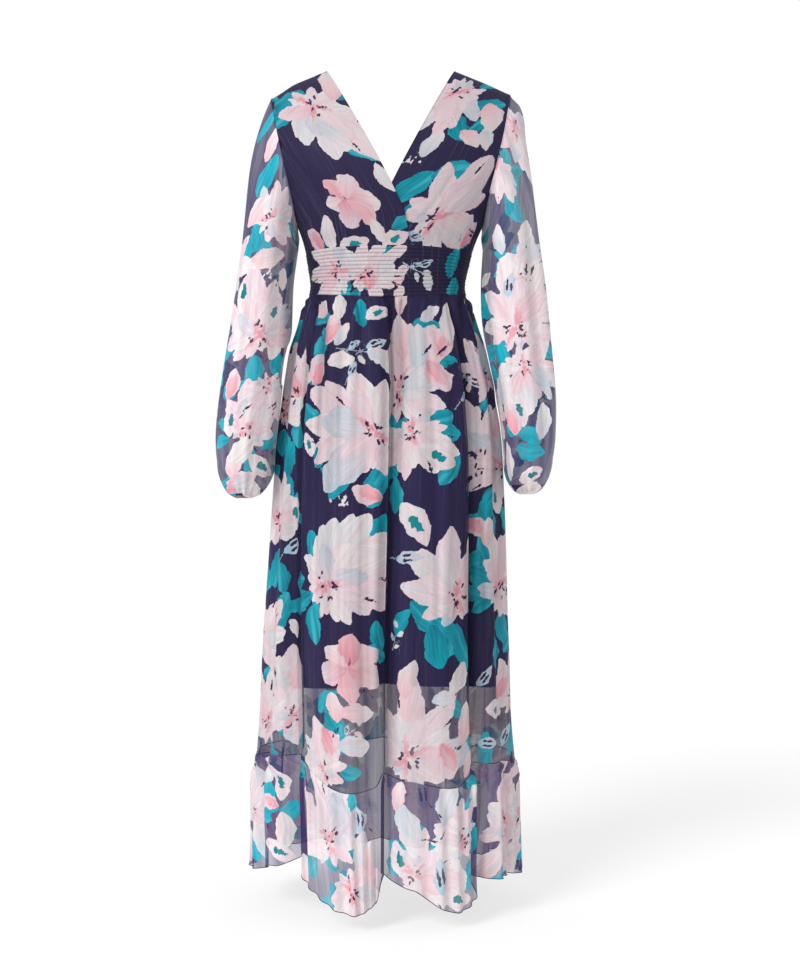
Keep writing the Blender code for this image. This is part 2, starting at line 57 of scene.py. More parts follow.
NECK_HALF_WIDTH = 0.103
SHOULDER_HALF_WIDTH = 0.190
NECK_Z = 0.0208
SHOULDER_Z = -0.0144
BACK_V_Z = -0.190
UNDERARM_Z = -0.227
WAIST_TOP_Z = -0.272
HEM_Z = -1.265
SHOULDER_GAP = 0.0012
SHOULDER_BEND = 0.148
RIGHT_SHOULDER_DROP = 0.0080
LEFT_SHOULDER_DROP = 0.0018
SHOULDER_FADE = 0.035
FRONT_ROUNDING = 0.19
BACK_ROUNDING = 0.14

# How the sleeves are kept clear of the skirt
CLEARANCE = 0.0014
CLEAR_REACH = 0.020
CLEAR_STEPS = 4
CLEAR_SPREAD = 3

# Sizes of the cloth's relief and the distances over which it fades, and of the painted shade in its hollows
# and beside its pleats
EDGE_SHARE = 0.02
FULL_SHADE_DEPTH = 0.0042
GATHER_START = 0.006
RIPPLE_WANDER = 0.8
RIPPLE_START = 0.05
RIPPLE_END = 0.16
PLEAT_OVER = 0.013
PLEAT_UNDER = 0.020
PLEAT_SHADOW = 0.009
PLEAT_START = 0.05


def rows_of(kind: type, *rows: tuple) -> tuple:
    """Rows of one kind, each from the values of its fields in order."""
    return tuple(kind(*row) for row in rows)


@dataclass(frozen=True)
class Section:
    """Level of the figure: half width, depth in front and behind, and sideways shift."""

    z: float
    half_width: float
    front: float
    back: float
    shift: float


FIGURE = rows_of(
    Section, (0.0208, 0.2400, 0.100, 0.092, 0.0000), (-0.0500, 0.2320, 0.106, 0.096, 0.0000),
    (-0.0900, 0.2150, 0.111, 0.100, 0.0000), (-0.1300, 0.1960, 0.116, 0.103, 0.0000),
    (-0.1700, 0.1750, 0.119, 0.103, -0.0005), (-0.2000, 0.1600, 0.120, 0.101, -0.0010),
    (-0.2270, 0.1475, 0.116, 0.098, -0.0010), (-0.2500, 0.1380, 0.109, 0.095, -0.0020),
    (-0.2720, 0.1315, 0.102, 0.092, -0.0030), (-0.3225, 0.1215, 0.093, 0.090, -0.0050),
    (-0.3380, 0.1240, 0.094, 0.092, -0.0050), (-0.3600, 0.1335, 0.100, 0.100, -0.0050),
    (-0.4220, 0.1525, 0.110, 0.113, -0.0040), (-0.4830, 0.1660, 0.117, 0.121, -0.0015),
    (-0.5820, 0.1785, 0.126, 0.128, -0.0025), (-0.6960, 0.1845, 0.137, 0.134, -0.0045),
    (-0.8500, 0.1910, 0.151, 0.142, -0.0080), (-1.0030, 0.1985, 0.165, 0.150, -0.0085),
    (-1.0800, 0.2050, 0.172, 0.156, -0.0080), (-1.1200, 0.2070, 0.175, 0.158, -0.0080),
    (-1.2000, 0.2090, 0.180, 0.162, -0.0080), (-1.3000, 0.2105, 0.184, 0.165, -0.0080),
)


@dataclass(frozen=True)
class BodiceRow:
    """Height of a row of the bodice at the armhole or side, and at the neckline or wrap edge."""

    outer_z: float
    inner_z: float


BODICE_ROWS = rows_of(
    BodiceRow, (SHOULDER_Z, NECK_Z), (-0.0180, 0.0165), (-0.0450, -0.0150), (-0.0750, -0.0450),
    (-0.1050, -0.0750), (-0.1350, -0.1050), (-0.1620, -0.1320), (-0.1870, -0.1580), (-0.2080, -0.1813),
    (-0.2210, -0.2020), (UNDERARM_Z, -0.2223), (-0.2480, -0.2480), (WAIST_TOP_Z, WAIST_TOP_Z),
)


@dataclass(frozen=True)
class Edge:
    """Distance of an edge from the middle of the dress, at a height."""

    z: float
    x: float


ARMHOLE = rows_of(
    Edge, (SHOULDER_Z, SHOULDER_HALF_WIDTH), (-0.050, 0.1845), (-0.090, 0.1770), (-0.130, 0.1675),
    (-0.170, 0.1580), (-0.200, 0.1515), (UNDERARM_Z, 0.1475),
)
TOP_WRAP_EDGE = rows_of(
    Edge, (NECK_Z, -NECK_HALF_WIDTH), (-0.1813, 0.0026), (-0.2223, 0.0224), (WAIST_TOP_Z, 0.0330)
)
UNDER_WRAP_EDGE = rows_of(
    Edge, (NECK_Z, -NECK_HALF_WIDTH), (-0.1813, -0.0026), (-0.2223, 0.0180), (WAIST_TOP_Z, 0.0300)
)


@dataclass(frozen=True)
class Fold:
    """Crest or valley of the skirt: its angles and rises at waist and hem, and its seam and hem heights."""

    waist_angle: float
    hem_angle: float
    waist_rise: float
    hem_rise: float
    seam_z: float
    hem_z: float


FRONT_FOLDS = rows_of(
    Fold, (-90.00, -90, -0.001, -0.004, -1.067, -1.243), (-82.50, -77, 0.001, 0.004, -1.062, -1.240),
    (-75.00, -63, -0.001, -0.009, -1.056, -1.232), (-67.50, -51, 0.001, 0.006, -1.054, -1.220),
    (-60.00, -40, -0.003, -0.030, -1.052, -1.204), (-52.50, -36, -0.001, -0.012, -1.058, -1.238),
    (-26.25, -11, 0.003, 0.013, -1.098, -1.274), (-7.50, -4, -0.002, -0.006, -1.092, -1.262),
    (0.00, -1, -0.008, -0.036, -1.073, -1.222), (11.25, 12, 0.000, 0.000, -1.082, -1.240),
    (26.25, 29, 0.003, 0.013, -1.093, -1.275), (37.50, 39, 0.000, 0.002, -1.078, -1.264),
    (45.00, 43, -0.004, -0.028, -1.063, -1.234), (56.25, 53, 0.001, 0.007, -1.066, -1.240),
    (67.50, 64, -0.001, -0.009, -1.068, -1.240), (78.75, 77, 0.001, 0.004, -1.072, -1.248),
    (90.00, 90, -0.001, -0.004, -1.074, -1.254),
)
BACK_FOLDS = rows_of(
    Fold, (-90.0, -90, -0.001, -0.004, -1.074, -1.254), (-76.5, -74, 0.001, 0.005, -1.072, -1.248),
    (-63.0, -58, -0.002, -0.011, -1.066, -1.240), (-49.5, -43, 0.001, 0.010, -1.078, -1.262),
    (-36.0, -29, -0.003, -0.020, -1.068, -1.242), (-18.0, -14, 0.002, 0.012, -1.080, -1.262),
    (0.0, 2, -0.003, -0.018, -1.066, -1.238), (18.0, 17, 0.002, 0.013, -1.078, -1.256),
    (36.0, 31, -0.003, -0.021, -1.064, -1.232), (49.5, 46, 0.001, 0.009, -1.070, -1.244),
    (63.0, 60, -0.002, -0.012, -1.060, -1.228), (76.5, 75, 0.001, 0.005, -1.064, -1.238),
    (90.0, 90, -0.001, -0.004, -1.067, -1.243),
)


@dataclass(frozen=True)
class Level:
    """Height of a level seam at the sides and in the middle of the front and back."""

    side: float
    front: float
    back: float

    def at(self, front: bool, angle: Array) -> Array:
        """Height at angles from the middle of the front or back."""
        middle = self.front if front else self.back
        return mix(self.side, middle, np.cos(np.radians(angle)) ** 2)


WAIST_BOTTOM = Level(side=-0.338, front=-0.350, back=-0.343)
LINING_HEM = Level(side=-0.956, front=-0.941, back=-0.950)


@dataclass(frozen=True)
class Fade:
    """Amount of an effect at a share of a piece's height."""

    share: float
    amount: float


SKIRT_GATHER_FADE = rows_of(
    Fade, (0.0, 0.05), (0.014, 0.60), (0.040, 1.0), (0.080, 0.85), (0.140, 0.55), (0.230, 0.25), (0.340, 0.0),
    (1.0, 0.0),
)
RUFFLE_FADE = rows_of(Fade, (0.0, 0.0), (0.16, 1.0), (0.50, 0.9), (1.0, 1.0))
LINING_INSET = rows_of(
    Fade, (0.0, 0.0012), (0.016, 0.0090), (0.06, 0.0110), (0.11, 0.0085), (0.18, 0.0062), (0.42, 0.0042),
    (1.0, 0.0040),
)


@dataclass(frozen=True)
class SleeveLevel:
    """Level of a sleeve: its outer and inner edge, its middle from front to back, and half its depth."""

    z: float
    outer: float
    inner: float
    middle_y: float
    half_depth: float


RIGHT_SLEEVE = rows_of(
    SleeveLevel, (-0.2664, 0.2350, 0.1500, -0.0149, 0.052), (-0.3200, 0.2420, 0.1575, -0.0190, 0.050),
    (-0.3800, 0.2500, 0.1590, -0.0237, 0.050), (-0.4400, 0.2600, 0.1605, -0.0285, 0.050),
    (-0.5000, 0.2685, 0.1695, -0.0330, 0.050), (-0.5500, 0.2740, 0.1765, -0.0370, 0.050),
    (-0.5900, 0.2735, 0.1805, -0.0400, 0.048), (-0.6150, 0.2700, 0.1855, -0.0420, 0.044),
    (-0.6350, 0.2645, 0.1930, -0.0435, 0.037), (-0.6460, 0.2575, 0.2035, -0.0445, 0.029),
)
LEFT_SLEEVE = rows_of(
    SleeveLevel, (-0.2664, 0.2370, 0.1500, -0.0149, 0.052), (-0.3200, 0.2450, 0.1460, -0.0190, 0.050),
    (-0.3800, 0.2510, 0.1470, -0.0237, 0.050), (-0.4400, 0.2560, 0.1570, -0.0285, 0.050),
    (-0.5000, 0.2610, 0.1700, -0.0330, 0.050), (-0.5500, 0.2600, 0.1745, -0.0370, 0.050),
    (-0.5900, 0.2570, 0.1775, -0.0400, 0.048), (-0.6120, 0.2510, 0.1800, -0.0420, 0.044),
    (-0.6300, 0.2430, 0.1840, -0.0435, 0.037), (-0.6400, 0.2370, 0.1890, -0.0445, 0.029),
)


def mix(a: float | Array, b: float | Array, share: float | Array) -> Array:
    """Value at a share of the way from a to b."""
    return a + (b - a) * share


def smooth(share: Array) -> Array:
    """Share held between 0 and 1 and eased at both ends."""
    held = np.clip(share, 0.0, 1.0)
    return held * held * (3 - 2 * held)


def read(rows: tuple, key: str, value: str, at: Array, reach: float = 0.0) -> Array:
    """Read one column of a table by straight lines between its rows.

    Args:
        rows: the table, in rising or falling order of its key.
        key: name of the column that is looked up.
        value: name of the column that is read.
        at: where to read it.
        reach: distance over which its corners are rounded off, away from its ends.

    Returns:
        The values, in the shape of at.
    """
    keys = np.array([getattr(row, key) for row in rows])
    values = np.array([getattr(row, value) for row in rows])
    order = np.argsort(keys)
    keys = keys[order]
    values = values[order]
    exact = np.interp(at, keys, values)
    if reach == 0:
        return exact
    steps = np.linspace(-reach, reach, 7)
    rounded = sum(np.interp(at + step, keys, values) for step in steps) / len(steps)
    from_end = np.minimum(at - keys[0], keys[-1] - at)
    return mix(exact, rounded, smooth(from_end / reach))


def figure(column: str, z: Array) -> Array:
    """One measure of the figure at heights, with its corners rounded off."""
    return read(FIGURE, "z", column, z, reach=0.010)


def outer_edge(z: Array) -> Array:
    """Distance of the armhole or side seam from the middle, at heights."""
    return np.where(z >= UNDERARM_Z, read(ARMHOLE, "z", "x", z), figure("half_width", z))


def shoulder_line(x: Array) -> Array:
    """Height of the shoulder seam above distances from the middle."""
    share = (np.abs(x) - NECK_HALF_WIDTH) / (SHOULDER_HALF_WIDTH - NECK_HALF_WIDTH)
    return mix(NECK_Z, SHOULDER_Z, np.clip(share, 0.0, 1.0))


def ease_shoulder(points: Array) -> Array:
    """Round the outer end of the shoulder, on the bodice and on the head of the sleeve alike.

    Args:
        points: points near the shoulder, with their three coordinates on the last axis.

    Returns:
        The points, the outermost a little lower, more so on the wearer's right.
    """
    wide = np.abs(points[..., 0])
    near = np.exp(-np.maximum(shoulder_line(wide) - points[..., 2], 0.0) / SHOULDER_FADE)
    most = np.where(points[..., 0] < 0, RIGHT_SHOULDER_DROP, LEFT_SHOULDER_DROP)
    drop = most * smooth((wide - SHOULDER_BEND) / (SHOULDER_HALF_WIDTH - SHOULDER_BEND))
    eased = points.copy()
    eased[..., 2] -= near * drop
    return eased


def bodice_point(x: Array, z: Array, front: bool) -> Array:
    """Find points of the bodice's outer face.

    Args:
        x: distances from the middle of the dress, without the figure's shift.
        z: heights.
        front: True in front, False behind.

    Returns:
        The points, with their three coordinates on the last axis.
    """
    rounding = FRONT_ROUNDING if front else BACK_ROUNDING
    across = np.minimum(np.abs(x) / figure("half_width", z), 1.0)
    power = mix(2.0, 2.3, smooth((z - WAIST_TOP_Z) / 0.030))
    section = (1 - across ** power) ** (1 / power)
    drop = np.clip((shoulder_line(x) - z) / rounding, 0.0, 1.0)
    rounded = np.sin(drop * math.pi / 2) ** 0.6
    depth = figure("front" if front else "back", z) * section * rounded
    gap = np.where(z > UNDERARM_Z, SHOULDER_GAP, 0.0) / 2
    side = -1 if front else 1
    return np.stack([x + figure("shift", z), side * (depth + gap), z], axis=-1)


@dataclass(frozen=True)
class FoldPlace:
    """What the folds of the skirt do at each of a row of angles."""

    hem_angle: Array
    waist_rise: Array
    hem_rise: Array
    seam_z: Array
    hem_z: Array


def read_folds(folds: tuple[Fold, ...], angle: Array, soften: float = 0.9) -> FoldPlace:
    """Read the folds at angles of the waist, broad on the crests and sharper in the valleys.

    Args:
        folds: the folds, from one side seam to the other.
        angle: angles in degrees from the middle of the front or back.
        soften: degrees over which the bottom of a valley is rounded.

    Returns:
        The folds' angle, rises and heights at each angle.
    """
    waist = np.array([fold.waist_angle for fold in folds])
    columns = {
        name: np.array([getattr(fold, name) for fold in folds])
        for name in ("hem_angle", "waist_rise", "hem_rise", "seam_z", "hem_z")
    }
    total = {name: 0.0 for name in columns}
    steps = (-soften, -soften / 2, 0.0, soften / 2, soften)
    for step in steps:
        at = np.clip(angle + step, -90, 90)
        low = np.clip(np.searchsorted(waist, at, side="left") - 1, 0, len(folds) - 2)
        share = (at - waist[low]) / (waist[low + 1] - waist[low])
        even = (1 - np.cos(share * math.pi)) / 2
        rising = columns["hem_rise"][low] < columns["hem_rise"][low + 1]
        sharp = np.where(rising, np.sin(share * math.pi / 2), 1 - np.cos(share * math.pi / 2))
        eased = mix(even, sharp, 0.8)
        for name, values in columns.items():
            used = share if name == "hem_angle" else eased
            total[name] = total[name] + mix(values[low], values[low + 1], used) / len(steps)
    total["hem_angle"] = np.where(np.abs(angle) > 89.9, angle, total["hem_angle"])
    return FoldPlace(**total)


@dataclass(frozen=True)
class Half:
    """Front or back half of the skirt."""

    name: str
    front: bool
    folds: tuple[Fold, ...]
    waves: int
    gather_degrees: float

    @property
    def facing(self) -> int:
        """Direction that this half faces, in degrees."""
        return -90 if self.front else 90

    def point(
        self,
        angle: Array,
        z: Array,
        outwards: float | Array = 0.0,
        crest_share: float | Array = 1.0,
    ) -> Array:
        """Find points of the skirt's outer face.

        Args:
            angle: angles at the waist, one for each column.
            z: heights.
            outwards: distance from the face.
            crest_share: share of the crests' rise that is kept.

        Returns:
            The points, with their three coordinates on the last axis.
        """
        top = WAIST_BOTTOM.side
        drop = np.clip((top - z) / (top - HEM_Z), 0.0, 1.0)
        place = read_folds(self.folds, angle)
        turned = mix(angle, place.hem_angle, drop)
        waist_rise = place.waist_rise * np.minimum(drop / 0.03, 1.0)
        rise = mix(waist_rise, place.hem_rise, drop)
        rise = np.where(rise > 0, rise * crest_share, rise)
        azimuth = np.radians(self.facing + turned)
        width = figure("half_width", z)
        depth = figure(self.name, z)
        normal_x = np.cos(azimuth) / width
        normal_y = np.sin(azimuth) / depth
        length = np.hypot(normal_x, normal_y)
        out = rise + outwards
        x = width * np.cos(azimuth) + out * normal_x / length + figure("shift", z)
        y = depth * np.sin(azimuth) + out * normal_y / length
        return np.stack([x, y, z + 0 * x], axis=-1)


FRONT = Half("front", True, FRONT_FOLDS, 24, 15.0)
BACK = Half("back", False, BACK_FOLDS, 20, 18.0)


@dataclass(frozen=True)
class Pleat:
    """Deep narrow fold down the skirt: the cloth on its left, as seen, lies over some hidden cloth."""

    angle: float
    hidden: float
    step: float


FRONT_PLEATS = (Pleat(-60.2, 0.045, 0.0042), Pleat(0.35, 0.060, 0.0060), Pleat(45.3, 0.055, 0.0058))
BACK_PLEATS = (Pleat(-36.2, 0.050, 0.0036), Pleat(0.4, 0.040, 0.0032), Pleat(36.4, 0.055, 0.0036))


@dataclass(frozen=True)
class Ripple:
    """Long soft fold down the skirt, at an angle of the waist and between two heights."""

    angle: float
    depth: float
    width: float
    top: float
    bottom: float


FRONT_RIPPLES = rows_of(
    Ripple, (-80, 0.0030, 3.2, -0.36, -1.05), (-71, -0.0026, 2.4, -0.36, -0.90),
    (-52, 0.0034, 3.5, -0.42, -1.06), (-44, -0.0028, 2.2, -0.36, -0.72), (-37, 0.0022, 2.6, -0.50, -1.00),
    (-29, -0.0026, 2.4, -0.36, -0.86), (-21, 0.0030, 3.0, -0.36, -0.66), (-14, -0.0024, 2.2, -0.60, -1.07),
    (-7, 0.0036, 2.8, -0.40, -1.05), (8, -0.0024, 2.4, -0.36, -0.60), (14, 0.0032, 3.0, -0.36, -0.84),
    (22, -0.0030, 2.6, -0.36, -1.02), (30, 0.0028, 3.0, -0.46, -0.80), (38, 0.0034, 3.0, -0.40, -1.06),
    (54, -0.0028, 2.4, -0.36, -0.98), (62, 0.0034, 3.2, -0.36, -1.04), (72, -0.0028, 2.6, -0.36, -0.78),
    (80, 0.0028, 3.0, -0.50, -1.04),
)
BACK_RIPPLES = rows_of(
    Ripple, (-78, 0.0030, 3.4, -0.36, -1.03), (-68, -0.0026, 2.6, -0.36, -0.84),
    (-57, 0.0032, 3.4, -0.44, -1.05), (-46, -0.0028, 2.4, -0.36, -0.70), (-30, 0.0034, 3.0, -0.38, -0.98),
    (-20, -0.0024, 2.6, -0.52, -1.04), (-9, 0.0032, 3.0, -0.36, -0.80), (10, -0.0028, 2.6, -0.36, -0.92),
    (19, 0.0034, 3.2, -0.42, -1.05), (28, -0.0024, 2.4, -0.36, -0.66), (46, 0.0030, 3.0, -0.36, -0.88),
    (56, -0.0028, 2.8, -0.48, -1.03), (67, 0.0034, 3.2, -0.36, -1.04), (79, -0.0024, 2.8, -0.36, -0.76),
)


def ripple_relief(ripples: tuple[Ripple, ...], angle: Array, z: Array) -> Array:
    """Rise of the cloth from its long soft folds.

    Args:
        ripples: the folds.
        angle: angles at the waist.
        z: heights.

    Returns:
        The rise at each point.
    """
    rise = 0.0 * z
    for ripple in ripples:
        wander = ripple.angle + RIPPLE_WANDER * np.sin(z * 9 + ripple.angle)
        ends = smooth((ripple.top - z) / RIPPLE_START) * smooth((z - ripple.bottom) / RIPPLE_END)
        rise = rise + ripple.depth * np.exp(-(((angle - wander) / ripple.width) ** 2)) * ends
    return rise


@dataclass(frozen=True)
class Crease:
    """Soft trough, or ridge where its depth is above 0, between two places on a piece's cloth."""

    s: float
    t: float
    end_s: float
    end_t: float
    depth: float
    width: float


def crease_relief(creases: tuple[Crease, ...], s: Array, t: Array) -> Array:
    """Rise of the cloth from its creases.

    Args:
        creases: the creases of one piece.
        s: distances across the cloth.
        t: distances down the cloth.

    Returns:
        The rise at each point, below 0 in a trough.
    """
    rise = np.zeros_like(s)
    for crease in creases:
        along_s = crease.end_s - crease.s
        along_t = crease.end_t - crease.t
        length = math.hypot(along_s, along_t)
        share = ((s - crease.s) * along_s + (t - crease.t) * along_t) / length ** 2
        across = ((s - crease.s) * along_t - (t - crease.t) * along_s) / length
        bend = across - 0.06 * length * np.sin(np.clip(share, 0, 1) * math.pi)
        ends = smooth(share / 0.3) * smooth((1 - share) / 0.5)
        rise += crease.depth * np.exp(-((bend / crease.width) ** 2)) * ends
    return rise


def gathers(
    seed: int, s: Array, down: Array, count: int, depth: float, reach: float, width: float
) -> Array:
    """Small uneven gathers that start at a piece's upper edge.

    Args:
        seed: number that the uneven places, lengths and depths come from.
        s: distances across the cloth.
        down: distances below the gathered edge.
        count: number of gathers.
        depth: rise and fall of a middling gather.
        reach: how far down a middling gather shows.
        width: half its width.

    Returns:
        The rise at each point.
    """
    chance = np.random.default_rng(seed)
    low = float(s.min())
    high = float(s.max())
    rise = np.zeros_like(s)
    for index in range(count):
        place = mix(low, high, (index + chance.uniform(0.1, 0.9)) / count)
        sign = 1 if index % 2 else -1
        tall = reach * chance.uniform(0.35, 1.5)
        drift = chance.uniform(-0.12, 0.12)
        size = sign * depth * chance.uniform(0.5, 1.3)
        spread = width * (1 + down / tall)
        across = (s - place - drift * down) / spread
        rise += size * np.exp(-across ** 2) * np.exp(-down / tall) * smooth(down / GATHER_START)
    return rise


class Kind(Enum):
    """Motifs of the print."""

    BLOSSOM = 1
    FLOWER = 2
    LEAF = 3
    CHALK_LEAF = 4
    MIST_LEAF = 5
    SPRIG = 6
    BUD = 7
    SPECKS = 8
    PALE_LEAF = 9


@dataclass(frozen=True)
class Motif:
    """One motif: where its middle is seen from the front, or from behind on a back piece."""

    kind: Kind
    x: float
    z: float
    size: float
    turn: float


def motifs(kind: Kind, *rows: tuple[float, float, float, float]) -> tuple[Motif, ...]:
    """Motifs of one kind, each from its x, z and size in millimetres and its turn in degrees."""
    return tuple(Motif(kind, x / 1000, z / 1000, size / 1000, turn) for x, z, size, turn in rows)


PALE: Colour = (0.67, 0.550, 0.590)
CHALK: Colour = (0.67, 0.620, 0.625)
BLUSH: Colour = (0.69, 0.495, 0.535)
ROSE: Colour = (0.71, 0.40, 0.44)
CORAL: Colour = (0.66, 0.22, 0.27)
MIST: Colour = (0.46, 0.52, 0.58)
SKY: Colour = (0.30, 0.50, 0.64)
TEAL: Colour = (0.006, 0.315, 0.405)
AQUA: Colour = (0.055, 0.440, 0.530)
DEEP_TEAL: Colour = (0.005, 0.210, 0.290)
GREEN: Colour = (0.006, 0.190, 0.165)
PLUM: Colour = (0.045, 0.016, 0.062)
NAVY: Colour = (0.020, 0.015, 0.050)


class Layer:
    """One coat of paint: how far inside a shape each point lies, and the colour there."""

    def __init__(self, count: int, colour: Colour) -> None:
        """Start with no shapes."""
        self.depth = np.full(count, -0.02)
        self.colour = np.tile(np.array(colour), (count, 1))


class Canvas:
    """The print of one piece, kept at each point of its cloth."""

    def __init__(self, s: Array, t: Array, around: float = 0.0) -> None:
        """Start with bare cloth.

        Args:
            s: distances across the cloth.
            t: distances down the cloth.
            around: length once round, for a tube.
        """
        self.s = s
        self.t = t
        self.around = around
        self.leaves = Layer(len(s), TEAL)
        self.petals = Layer(len(s), PALE)
        self.marks = Layer(len(s), PLUM)
        self.stems = np.full(len(s), 0.05)
        self.stroke = np.stack([s * 260, t * 30, 0 * s], axis=-1)

    def near(self, s: float, t: float, reach: float) -> Array:
        """Indices of the points near a place."""
        return np.nonzero((np.abs(self.s - s) < reach) & (np.abs(self.t - t) < reach))[0]

    def dab(
        self,
        layer: Layer,
        root: tuple[float, float],
        turn: float,
        length: float,
        width: float,
        colours: tuple[Colour, Colour],
        belly: float = 0.75,
        blunt: float = 0.6,
        ragged: float = 0.05,
    ) -> None:
        """Paint one petal or leaf, in one pull of the brush.

        Args:
            layer: coat that it is painted in.
            root: place of its root across and down the cloth.
            turn: direction in degrees, 0 across to +s and 90 up the cloth.
            length: its length.
            width: its greatest width.
            colours: its colours at the root and at the tip.
            belly: under 1 its widest part is nearer to the root, above 1 nearer to the tip.
            blunt: under 1 its ends are round, above 1 pointed.
            ragged: unevenness of its outline, as a share of its width.
        """
        s, t = root
        reach = length * 1.15 + 0.01
        for offset in (0.0,) if self.around == 0 else (-self.around, 0.0, self.around):
            chosen = self.near(s + offset, t, reach)
            if len(chosen) == 0:
                continue
            ds = self.s[chosen] - s - offset
            dt = t - self.t[chosen]
            cos = math.cos(math.radians(turn))
            sin = math.sin(math.radians(turn))
            along = (ds * cos + dt * sin) / length
            across = -ds * sin + dt * cos
            seed = s * 900 + t * 700 + turn
            across = across + 0.07 * width * np.sin(along * 5 + seed)
            along = along * (1 + 0.4 * ragged * np.sin(across / width * 7 + seed * 2))
            held = np.clip(along, 0.0, 1.0)
            half = width / 2 * np.sin(math.pi * held ** belly) ** blunt
            half = half * (1 + ragged * np.sin(along * 17 + seed * 3 + np.sign(across) * 2))
            past = np.maximum(np.maximum(along - 1, -along), 0.0) * length
            inside = half - np.abs(across)
            depth = np.where(past > 0, -np.hypot(np.minimum(inside, 0.0), past), inside)
            before = layer.depth[chosen]
            painted = (depth > 0) | ((depth > -0.003) & (before < depth))
            share = np.clip(along, 0, 1)[:, None]
            tint = mix(np.array(colours[0]), np.array(colours[1]), share ** 0.8)
            edge = np.exp(-((depth - 0.0008) / 0.0016) ** 2) * (before > 0.003)
            tint = tint * (1 - 0.13 * edge[:, None] * np.array([0.5, 1.0, 0.8]))
            index = chosen[painted]
            layer.colour[index] = tint[painted]
            pulled = (across[painted] * 300 + seed, along[painted] * length * 26, 0 * along[painted] + seed)
            self.stroke[index] = np.stack(pulled, axis=-1)
            layer.depth[chosen] = np.maximum(before, depth)

    def stem(self, root: tuple[float, float], turn: float, length: float, bend: float) -> None:
        """Paint a thin stem.

        Args:
            root: place of its lower end across and down the cloth.
            turn: direction in degrees that it grows in.
            length: its length.
            bend: degrees that it turns by over its length.
        """
        s, t = root
        pieces = 7
        for index in range(pieces):
            heading = math.radians(turn + bend * index / pieces)
            step_s = length / pieces * math.cos(heading)
            step_t = -length / pieces * math.sin(heading)
            chosen = self.near(s, t, length / pieces + 0.008)
            along = ((self.s[chosen] - s) * step_s + (self.t[chosen] - t) * step_t) / (length / pieces) ** 2
            away = ((self.s[chosen] - s) * step_t - (self.t[chosen] - t) * step_s) / (length / pieces)
            closer = (along > -0.1) & (along < 1.1) & (np.abs(away) < np.abs(self.stems[chosen]))
            self.stems[chosen[closer]] = away[closer]
            s += step_s
            t += step_t


PETAL_TINTS = (
    (BLUSH, PALE), (PALE, CHALK), (ROSE, PALE), (MIST, CHALK), (PALE, PALE), (BLUSH, CHALK), (CHALK, PALE),
    (PALE, MIST), (BLUSH, PALE), (PALE, CHALK),
)


